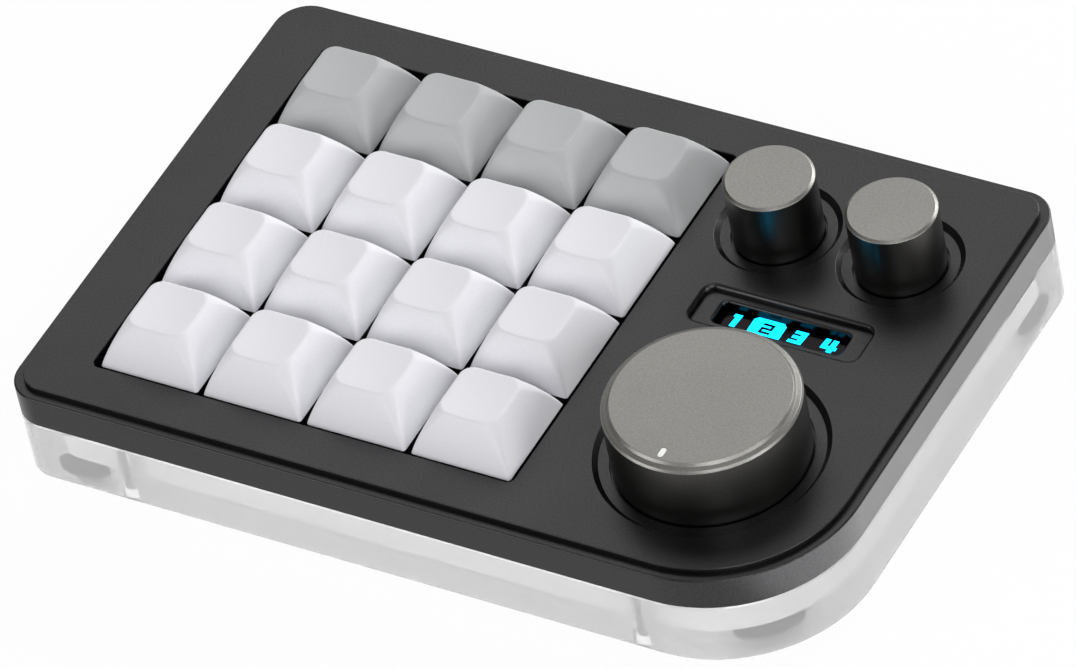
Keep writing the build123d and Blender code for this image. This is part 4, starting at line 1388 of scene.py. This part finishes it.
@dataclass
class CaseScrew:
    """Socket-head screws that hold the base to the shell."""

    radius = 1.0
    head_radius = 1.9
    head_height = 1.4
    head_round = 0.25
    seat_round = 0.1
    neck_round = 0.05
    socket_radius = 0.85
    socket_depth = 0.8
    socket_rim = 0.2              # flat round the socket
    pitch = 0.4                   # of the thread
    thread_depth = 0.14
    crest = 0.05                  # half of the thread's flat crest

    def profile(self, low_z: float, high_z: float) -> list[Point]:
        """Gives the screw's outside from the socket's edge to its tip, as radius and level.

        Args:
            low_z: Underside of the head.
            high_z: Tip of the shank.

        Returns:
            The profile.
        """
        seat_z = low_z + self.head_height - FACE_GAP
        path = rounded(
            [
                (self.socket_radius + self.socket_rim, low_z, 0),
                (self.head_radius, low_z, self.head_round),
                (self.head_radius, seat_z, self.seat_round),
                (self.radius, seat_z, self.neck_round),
                (self.radius, seat_z + self.pitch, 0),
            ],
            3,
        )
        turns = int((high_z - seat_z - 2 * self.pitch) / self.pitch)
        root = self.radius - self.thread_depth
        for i in range(turns):
            z = seat_z + (i + 1) * self.pitch
            path += [
                (self.radius, z + self.crest),
                (root, z + self.pitch / 2),
                (self.radius, z + self.pitch - self.crest),
            ]
        return path + [(root, high_z)]

    def build(self, tree: bpy.types.NodeTree) -> None:
        """Builds one screw and sets a copy at each place.

        Args:
            tree: Tree that sets the copies.
        """
        low, high = box_of("case_screws")
        skin = Skin()
        head, tip = skin.lathe((0, 0), self.profile(low.z, high.z), 24)
        hexagon = circle((0, 0), self.socket_radius, 6)
        mouth = skin.ring(hexagon, low.z)
        bottom = skin.ring(hexagon, low.z + self.socket_depth)
        skin.flat(head, mouth)
        skin.wall(mouth, bottom)
        skin.flat(bottom)
        skin.flat(tip)
        one = skin.piece("screw", SCREW_STEEL)
        screws = set_out("case_screws_steel", one, tree, case_screw_places())
        seat(screws, "root", "screw_steel", "case_screws")


# ---- Keys ------------------------------------------------------------------
class CapTone(Enum):
    """Tone of a keycap: the back row is grey and the others are white."""

    GREY = ("keycap_grey", CAP_GREY)
    WHITE = ("keycap_white", CAP_WHITE)

    @property
    def slot(self) -> str:
        """Gives the record's material slot."""
        return self.value[0]

    @property
    def finish(self) -> Finish:
        """Gives the moulded finish."""
        return self.value[1]


@dataclass
class Keycap:
    """One keycap: bowed sides, a dished top with a soft crease, and a post with a cross slot."""

    row: int
    column: int
    tone: CapTone

    base_half = 9.0
    half_run = -2.65              # the sides come in by this and, more and more, by the bow
    half_bow = -1.05
    base_corner = 0.5
    corner_growth = 1.9
    dish_radius = 38.0
    dish_z = 7.12                 # lowest point of the dish above the skirt
    crease = 0.4                  # soft edge between side and dish
    roof = 2.2                    # plastic over the hollow
    hollow_halves = (7.8, 6.2, 5.4)    # half sizes at the skirt, part-way up and at the roof
    hollow_bend_z = 3.6           # level of the middle one above the skirt
    hollow_corner = 0.8
    post_radius = 2.75
    cross_length = 4.1
    cross_thickness = 1.35
    cross_height = 3.6            # of the stem's cross
    post_gap = 0.1                # between the post and the slider
    slot_gap = 0.05               # over the cross
    bend_steps = 6                # round a corner
    side_steps = 7                # along a side
    side_levels = 12
    crease_levels = 4
    dish_levels = 7

    def __post_init__(self) -> None:
        """Takes the cap's place from its CAD node."""
        self.node = f"keycap_r{self.row}c{self.column}"
        low, high = box_of(self.node)
        self.centre = middle_of(self.node)
        self.skirt_z, self.height = low.z, high.z - low.z
        self.stem_z = box_of(f"switch_stem_r{self.row}c{self.column}")[1].z - low.z

    def level(self, half: float, corner: float) -> list[Point]:
        """Outlines a rounded square with points along its sides too.

        Args:
            half: Half of its size.
            corner: Radius of its corners.

        Returns:
            The points, counter-clockwise from the front left corner.
        """
        points: list[Point] = []
        reach = half - corner
        for turn, (x, y) in enumerate(((-1, -1), (1, -1), (1, 1), (-1, 1))):
            start = 180 + 90 * turn
            bend = arc((x * reach, y * reach), corner, start, start + 90, self.bend_steps)
            way = Vector(((1, 0), (0, 1), (-1, 0), (0, -1))[turn])
            runs = [2 * reach * i / self.side_steps for i in range(1, self.side_steps)]
            points += bend + [tuple(Vector(bend[-1]) + way * run) for run in runs]
        return points

    def side(self, share: float) -> list[Place]:
        """Gives the outside's points at a share of the full height."""
        half = self.base_half + self.half_run * share + self.half_bow * share**2
        corner = self.base_corner + self.corner_growth * share**2
        return [(x, y, share * self.height) for x, y in self.level(half, corner)]

    def dish(self, x: float, y: float) -> float:
        """Gives the dish's level at a point."""
        return self.dish_z + (x * x + y * y) / (2 * self.dish_radius)

    def top_shares(self) -> list[float]:
        """Finds the share of the height at which each point of the side meets the dish."""
        found = []
        for i in range(len(self.side(0.0))):
            low, high = 0.8, 1.0
            for _ in range(24):
                middle = (low + high) / 2
                x, y, z = self.side(middle)[i]
                low, high = (middle, high) if z < self.dish(x, y) else (low, middle)
            found.append(low)
        return found

    def outside(self) -> list[list[Place]]:
        """Gives the outside's loops from the skirt to near the dish's middle."""
        shares = self.top_shares()
        softened = [share - self.crease / self.height for share in shares]
        loops = [self.side(0.0)]
        for step in range(1, self.side_levels + 1):
            part = step / self.side_levels
            loops.append([self.side(part * share)[i] for i, share in enumerate(softened)])
        edge = [Vector(self.side(share)[i]) for i, share in enumerate(shares)]
        inner = []
        for point in edge:
            near = point.xy * (1 - self.crease / point.xy.length)
            inner.append(Vector((near.x, near.y, self.dish(near.x, near.y))))
        for step in range(1, self.crease_levels + 1):
            t = step / self.crease_levels
            bend = [
                (1 - t) ** 2 * Vector(a) + 2 * t * (1 - t) * b + t**2 * c
                for a, b, c in zip(loops[self.side_levels], edge, inner)
            ]
            loops.append([tuple(point) for point in bend])
        for step in range(1, self.dish_levels):
            part = 1 - step / self.dish_levels
            loops.append([(p.x * part, p.y * part, self.dish(p.x * part, p.y * part)) for p in inner])
        return loops

    def cross(self) -> list[Point]:
        """Outlines the slot for the stem's cross."""
        a, b = self.cross_length / 2, self.cross_thickness / 2
        quarter = [(a, -b), (a, b), (b, b), (b, a), (-b, a), (-b, b), (-a, b), (-a, -b), (-b, -b), (-b, -a)]
        return quarter + [(b, -a), (b, -b)]

    def place(self, points: Sequence[Place]) -> list[Place]:
        """Moves points from the cap's own middle and skirt to where the cap is."""
        return [(x + self.centre[0], y + self.centre[1], z + self.skirt_z) for x, y, z in points]

    def level_loops(self, skin: Skin, outline: Sequence[Point], *levels: float) -> list[Loop]:
        """Adds an outline's loop at each level above the skirt."""
        return [skin.loop(self.place([(x, y, z) for x, y in outline])) for z in levels]

    def build(self) -> None:
        """Builds the cap and seats it on its key."""
        skin = Skin()
        outside = [skin.loop(self.place(points)) for points in self.outside()]
        skin.wall(*outside)
        skin.flat(outside[-1])

        roof_z = self.height - self.roof
        inside: list[Loop] = []
        for half, z in zip(self.hollow_halves, (0.0, self.hollow_bend_z, roof_z)):
            inside += self.level_loops(skin, self.level(half, self.hollow_corner), z)
        skin.wall(outside[0], *inside)

        post_z = self.stem_z - self.cross_height + self.post_gap
        post = self.level_loops(skin, circle((0, 0), self.post_radius, 32), post_z, roof_z)
        skin.wall(*post)
        skin.flat(inside[-1], post[1])
        slot = self.level_loops(skin, self.cross(), post_z, self.stem_z + self.slot_gap)
        skin.wall(*slot)
        skin.flat(post[0], slot[0])
        skin.flat(slot[1])
        cap = skin.piece(f"cap_r{self.row}c{self.column}", self.tone.finish)
        seat(cap, f"key_r{self.row}c{self.column}", self.tone.slot, self.node)


@dataclass
class KeyField:
    """The sixteen keycaps and the springs under them."""

    rows: int = 4
    columns: int = 4
    turns: float = 5.0
    coil_radius: float = 1.75
    wire_radius: float = 0.15
    keep: float = 0.467           # share of the spring's height left when a key is down

    def build(self, coil: bpy.types.NodeTree) -> None:
        """Builds caps and springs.

        Args:
            coil: Tree that winds a spring.
        """
        low, high = box_of("switch_springs")
        for row in range(1, self.rows + 1):
            tone = CapTone.GREY if row == 1 else CapTone.WHITE
            for column in range(1, self.columns + 1):
                cap = Keycap(row, column, tone)
                cap.build()
                self.spring(cap, coil, low.z, high.z)

    def spring(self, cap: Keycap, coil: bpy.types.NodeTree, low_z: float, high_z: float) -> None:
        """Winds one key's spring.

        Args:
            cap: Keycap over the spring.
            coil: Tree that winds it.
            low_z: Level of its foot.
            high_z: Level of its top.
        """
        values = {
            "Turns": self.turns,
            "Coil Radius": self.coil_radius * MM,
            "Wire Radius": self.wire_radius * MM,
            "Height": (high_z - low_z - 2 * self.wire_radius) * MM,
            "Foot": (cap.centre[0] * MM, cap.centre[1] * MM, (low_z + self.wire_radius) * MM),
            "Finish": SPRING_WIRE.material(),
        }
        spring = grow(f"spring_r{cap.row}c{cap.column}", coil, values)
        seat(spring, "root", "spring_steel", "switch_springs")
        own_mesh(spring)


# ---- Display ---------------------------------------------------------------
@dataclass
class Display:
    """Display glass with four lit figures, the second one dark in a lit tab."""

    figure_height: float = 2.75
    figure_width: float = 2.5
    stroke: float = 0.23          # stroke as a share of the height
    lean: float = 0.1             # sideways run for each unit of height
    first_x: float = -8.74        # middle of the first figure from the display's middle
    step: float = 5.6             # from one figure to the next
    figures_y: float = 0.35
    dark_number: int = 2          # the figure that is dark in a lit tab
    dark_figure: float = 0.82     # size of the dark figure against the lit ones
    dark_stroke: float = 0.22
    tab_half_length: float = 2.9
    tab_half_width: float = 2.3
    tab_cut: float = 0.6          # off the tab's two back corners
    thickness: float = 0.03       # of the figures
    corner: float = 0.3           # of the glass
    edge: float = 0.1

    def figure(self, number: int) -> list[Point]:
        """Outlines a figure, one unit high and nearly as wide.

        Args:
            number: Figure from 1 to 4.

        Returns:
            The outline, counter-clockwise.
        """
        w, t = self.figure_width / self.figure_height, self.stroke
        thin = self.dark_stroke
        low, high = (1 - t) / 2, (1 + t) / 2
        thin_low, thin_high = (1 - thin) / 2, (1 + thin) / 2
        shapes = {
            1: [(0.3, 0), (0.66, 0), (0.66, 1), (0.16, 1), (0.16, 1 - t), (0.3, 1 - t)],
            2: [
                (0, 0), (w, 0), (w, thin), (thin, thin), (thin, thin_low), (w, thin_low),
                (w, 1), (0, 1), (0, 1 - thin), (w - thin, 1 - thin), (w - thin, thin_high), (0, thin_high),
            ],
            3: [
                (0, 0), (w, 0), (w, 1), (0.1, 1), (0.1, 1 - t), (0.54, 1 - t),
                (0.54, high), (0.1, high), (0.1, low), (0.54, low), (0.54, t), (0, t),
            ],
            4: [
                (0.5, 0), (0.84, 0), (0.84, 0.22), (1, 0.22), (1, 0.48), (0.84, 0.48), (0.84, 1),
                (0.5, 1), (0.5, 0.48), (0.33, 0.48), (0.33, 1), (0, 1), (0, 0.22), (0.5, 0.22),
            ],
        }
        return shapes[number]

    def placed(self, number: int) -> list[Point]:
        """Outlines a figure, leant over and in its place on the glass."""
        centre = middle_of("display_panel")
        middle_x = centre[0] + self.first_x + (number - 1) * self.step
        middle_y = centre[1] + self.figures_y
        size = self.figure_height * (self.dark_figure if number == self.dark_number else 1)
        half = self.figure_width / self.figure_height / 2
        return [
            (middle_x + (x - half + self.lean * (y - 0.5)) * size, middle_y + (y - 0.5) * size)
            for x, y in self.figure(number)
        ]

    def tab(self) -> list[Point]:
        """Outlines the lit tab behind the second figure."""
        centre = middle_of("display_panel")
        x = centre[0] + self.first_x + self.step
        half, cut = self.tab_half_length, self.tab_cut
        low, top = centre[1] - self.tab_half_width, centre[1] + self.tab_half_width
        return [
            (x - half, low), (x + half, low),
            (x + half, top - cut), (x + half - cut, top),
            (x - half + cut, top), (x - half, top - cut),
        ]

    def build(self) -> None:
        """Builds the glass and the lit figures on it."""
        low, high = box_of("display_panel")
        plan = Plan(low.x, high.x, low.y, high.y, (self.corner,) * 4)
        skin = Skin()
        top_z = high.z - FACE_GAP - self.thickness
        path = [
            (LEAD, low.z, 0),
            (0.0, low.z, self.edge),
            (0.0, top_z, self.edge),
            (LEAD, top_z, 0),
        ]
        loops = [skin.ring(plan.outline(inset), z) for inset, z in rounded(path, 3)[1:-1]]
        skin.wall(*loops)
        skin.flat(loops[0])
        skin.flat(loops[-1])
        seat(skin.piece("display_glass", DISPLAY_GLASS), "root", "display_glass", "display_panel")

        lit = Skin()
        for number in (1, 2, 3, 4):
            outlines = [self.tab()] if number == self.dark_number else []
            outlines.append(self.placed(number))
            under = [lit.ring(points, top_z) for points in outlines]
            over = [lit.ring(points, top_z + self.thickness) for points in outlines]
            for pair in zip(under, over):
                lit.wall(*pair)
            lit.flat(*under)
            lit.flat(*over)
        seat(lit.piece("display_figures", DISPLAY_LIGHT), "root", "display_glass")


# ---- Inner pieces ----------------------------------------------------------
def dress_inner_nodes() -> None:
    """Gives every CAD node that still shows the finish of its material slot."""
    for part in frame["record"]["subparts"]:
        finish = FINISH_OF_SLOT.get(part["material_slot"])
        node = frame["nodes"][part["node"]]
        if finish is None or node.hide_render:
            continue
        node.data.materials.clear()
        node.data.materials.append(finish.material())
        log.info("%s is dressed in %s", part["node"], finish.name)


# ---- Studio ----------------------------------------------------------------
METAL_PIECES = ("top_shell_machined", "main_knob_turned", "left_knob_turned", "right_knob_turned")
SHELL_PIECE, BASE_PIECE = METAL_PIECES[:1], ("base_shell_acrylic",)


@dataclass(frozen=True)
class Softbox:
    """One large soft lamp, aimed at the object."""

    name: str
    place: Place                  # mm
    width: float                  # mm
    height: float                 # mm
    power: float                  # watts
    aim: Place = (0, 0, 20)       # mm
    only_on: tuple[str, ...] = ()    # the pieces that it lights, if not all

    def build(self) -> None:
        """Makes the lamp."""
        data = bpy.data.lights.new(self.name, "AREA")
        data.shape = "RECTANGLE"
        data.size, data.size_y = self.width * MM, self.height * MM
        data.energy = self.power
        lamp = bpy.data.objects.new(self.name, data)
        lamp.location = Vector(self.place) * MM
        line = Vector(self.aim) - Vector(self.place)
        lamp.rotation_euler = line.to_track_quat("-Z", "Y").to_euler()
        if self.only_on:
            lit = bpy.data.collections.new(f"{self.name}_lights")
            for name in self.only_on:
                lit.objects.link(bpy.data.objects[name])
            lamp.light_linking.receiver_collection = lit
        bpy.context.scene.collection.objects.link(lamp)


@dataclass(frozen=True)
class Viewpoint:
    """Camera far off on a long lens, turned a little about its own axis."""

    azimuth: float = 37.170       # degrees to the right of straight in front
    elevation: float = 44.032     # degrees above level
    roll: float = -12.456         # degrees
    distance: float = 1653.43     # mm
    target: Place = (5.250, -7.160, 20.05)
    lens: float = 349.27          # mm
    sensor: float = 36.0          # mm
    reach: float = 100.0          # m, furthest that it sees

    def build(self) -> None:
        """Makes the camera the scene's own."""
        azimuth, elevation, roll = (math.radians(a) for a in (self.azimuth, self.elevation, self.roll))
        right = Vector((math.cos(azimuth), math.sin(azimuth), 0))
        back = Vector(
            (
                math.sin(azimuth) * math.cos(elevation),
                -math.cos(azimuth) * math.cos(elevation),
                math.sin(elevation),
            )
        )
        up = back.cross(right)
        data = bpy.data.cameras.new("camera")
        data.lens, data.sensor_width = self.lens, self.sensor
        data.clip_end = self.reach
        camera = bpy.data.objects.new("camera", data)
        turned_right = right * math.cos(roll) + up * math.sin(roll)
        turned_up = up * math.cos(roll) - right * math.sin(roll)
        columns = (turned_right, turned_up, back)
        place = (Vector(self.target) + back * self.distance) * MM
        matrix = camera.matrix_world.copy()
        for i, axis in enumerate(columns):
            matrix.col[i] = (*axis, 0.0)
        matrix.col[3] = (*place, 1.0)
        camera.matrix_world = matrix
        bpy.context.scene.collection.objects.link(camera)
        bpy.context.scene.camera = camera


@dataclass
class Studio:
    """Pale floor, soft lamps and a white surround."""

    floor_half: float = 6000.0    # mm
    floor_colour: str = "#f2f2f2"
    floor_roughness: float = 0.9
    surround_strength: float = 0.09
    paper_white: float = 0.96     # share of plain white in what is seen of the floor

    softboxes: tuple[Softbox, ...] = (
        Softbox("behind_left", (-651, 860, 1040), 900, 900, 4.4),
        Softbox("behind", (300, 1300, 650), 1000, 500, 16.5),
        Softbox("front_left", (-800, -1100, 600), 700, 700, 8.2),
        Softbox("right", (1400, -200, 500), 500, 700, 7),
        Softbox("front_right", (750, -1000, 1000), 700, 700, 9),
        Softbox("over_metal", (150, -150, 1500), 900, 900, 4.2, only_on=METAL_PIECES),
        Softbox("right_strip", (125, 15, 0.5), 100, 260, 0.2, (125, 15, 100), only_on=SHELL_PIECE),
        Softbox("front_low", (-350, -900, 160), 700, 200, 2.2, only_on=BASE_PIECE),
    )

    def seen_directly(self, tree: bpy.types.NodeTree) -> bpy.types.NodeSocket:
        """Adds nodes that tell rays that look, mirror or pass through from rays that light.

        Args:
            tree: Node tree that gets them.

        Returns:
            Socket that is 1 for a ray that looks.
        """
        rays = add_node(tree, "ShaderNodeLightPath").outputs
        seen = rays["Is Camera Ray"]
        for kind in ("Is Glossy Ray", "Is Transmission Ray"):
            either = add_node(tree, "ShaderNodeMath", {0: seen, 1: rays[kind]}, operation="MAXIMUM")
            seen = either.outputs[0]
        return seen

    def build_floor(self) -> None:
        """Builds the floor, which stays white to the eye and keeps the object's shadow."""
        material, tree = empty_material("paper_white_matt")
        paper = add_node(
            tree,
            "ShaderNodeBsdfPrincipled",
            {
                "Base Color": linear(self.floor_colour),
                "Roughness": self.floor_roughness,
                "Specular IOR Level": 0.0,
            },
        )
        white = add_node(tree, "ShaderNodeEmission", {"Color": linear(WHITE)})
        share = add_node(
            tree,
            "ShaderNodeMath",
            {0: self.seen_directly(tree), 1: self.paper_white},
            operation="MULTIPLY",
        )
        mixed = add_node(
            tree, "ShaderNodeMixShader", {0: share.outputs[0], 1: paper.outputs[0], 2: white.outputs[0]}
        )
        add_node(tree, "ShaderNodeOutputMaterial", {"Surface": mixed.outputs[0]})
        half = self.floor_half * MM
        data = bpy.data.meshes.new("floor")
        corners = [(-half, -half, 0), (half, -half, 0), (half, half, 0), (-half, half, 0)]
        data.from_pydata(corners, [], [(0, 1, 2, 3)])
        data.materials.append(material)
        floor = bpy.data.objects.new("floor", data)
        bpy.context.scene.collection.objects.link(floor)

    def build_surround(self) -> None:
        """Builds the white surround."""
        world = bpy.data.worlds.new("surround")
        world.use_nodes = True
        tree = world.node_tree
        tree.nodes.clear()
        strengths = (self.surround_strength, 1.0)
        lit, seen = (
            add_node(tree, "ShaderNodeBackground", {"Color": linear(WHITE), "Strength": strength})
            for strength in strengths
        )
        rays = add_node(tree, "ShaderNodeLightPath")
        mixed = add_node(
            tree,
            "ShaderNodeMixShader",
            {0: rays.outputs["Is Camera Ray"], 1: lit.outputs[0], 2: seen.outputs[0]},
        )
        add_node(tree, "ShaderNodeOutputWorld", {"Surface": mixed.outputs[0]})
        bpy.context.scene.world = world

    def build(self) -> None:
        """Builds floor, surround and lamps."""
        self.build_floor()
        self.build_surround()
        for softbox in self.softboxes:
            softbox.build()
            log.info("lamp %s at %.1f W", softbox.name, softbox.power)
        bpy.context.scene.view_settings.view_transform = "Standard"


# ---- Whole -----------------------------------------------------------------
def main() -> None:
    """Builds the camera, the object's pieces and the studio in order."""
    logging.basicConfig(level=logging.INFO, format="%(name)s: %(message)s")
    Viewpoint().build()
    scatter, coil = scatter_tree(), coil_tree()
    case, all_knobs = CasePlan(), knobs()
    TopShell(case).build(all_knobs)
    BaseShell(case).build()
    Feet().build(scatter)
    CaseScrew().build(scatter)
    for knob in all_knobs:
        knob.build()
    KeyField().build(coil)
    Display().build()
    dress_inner_nodes()
    Studio().build()


if __name__ == "__main__":
    main()
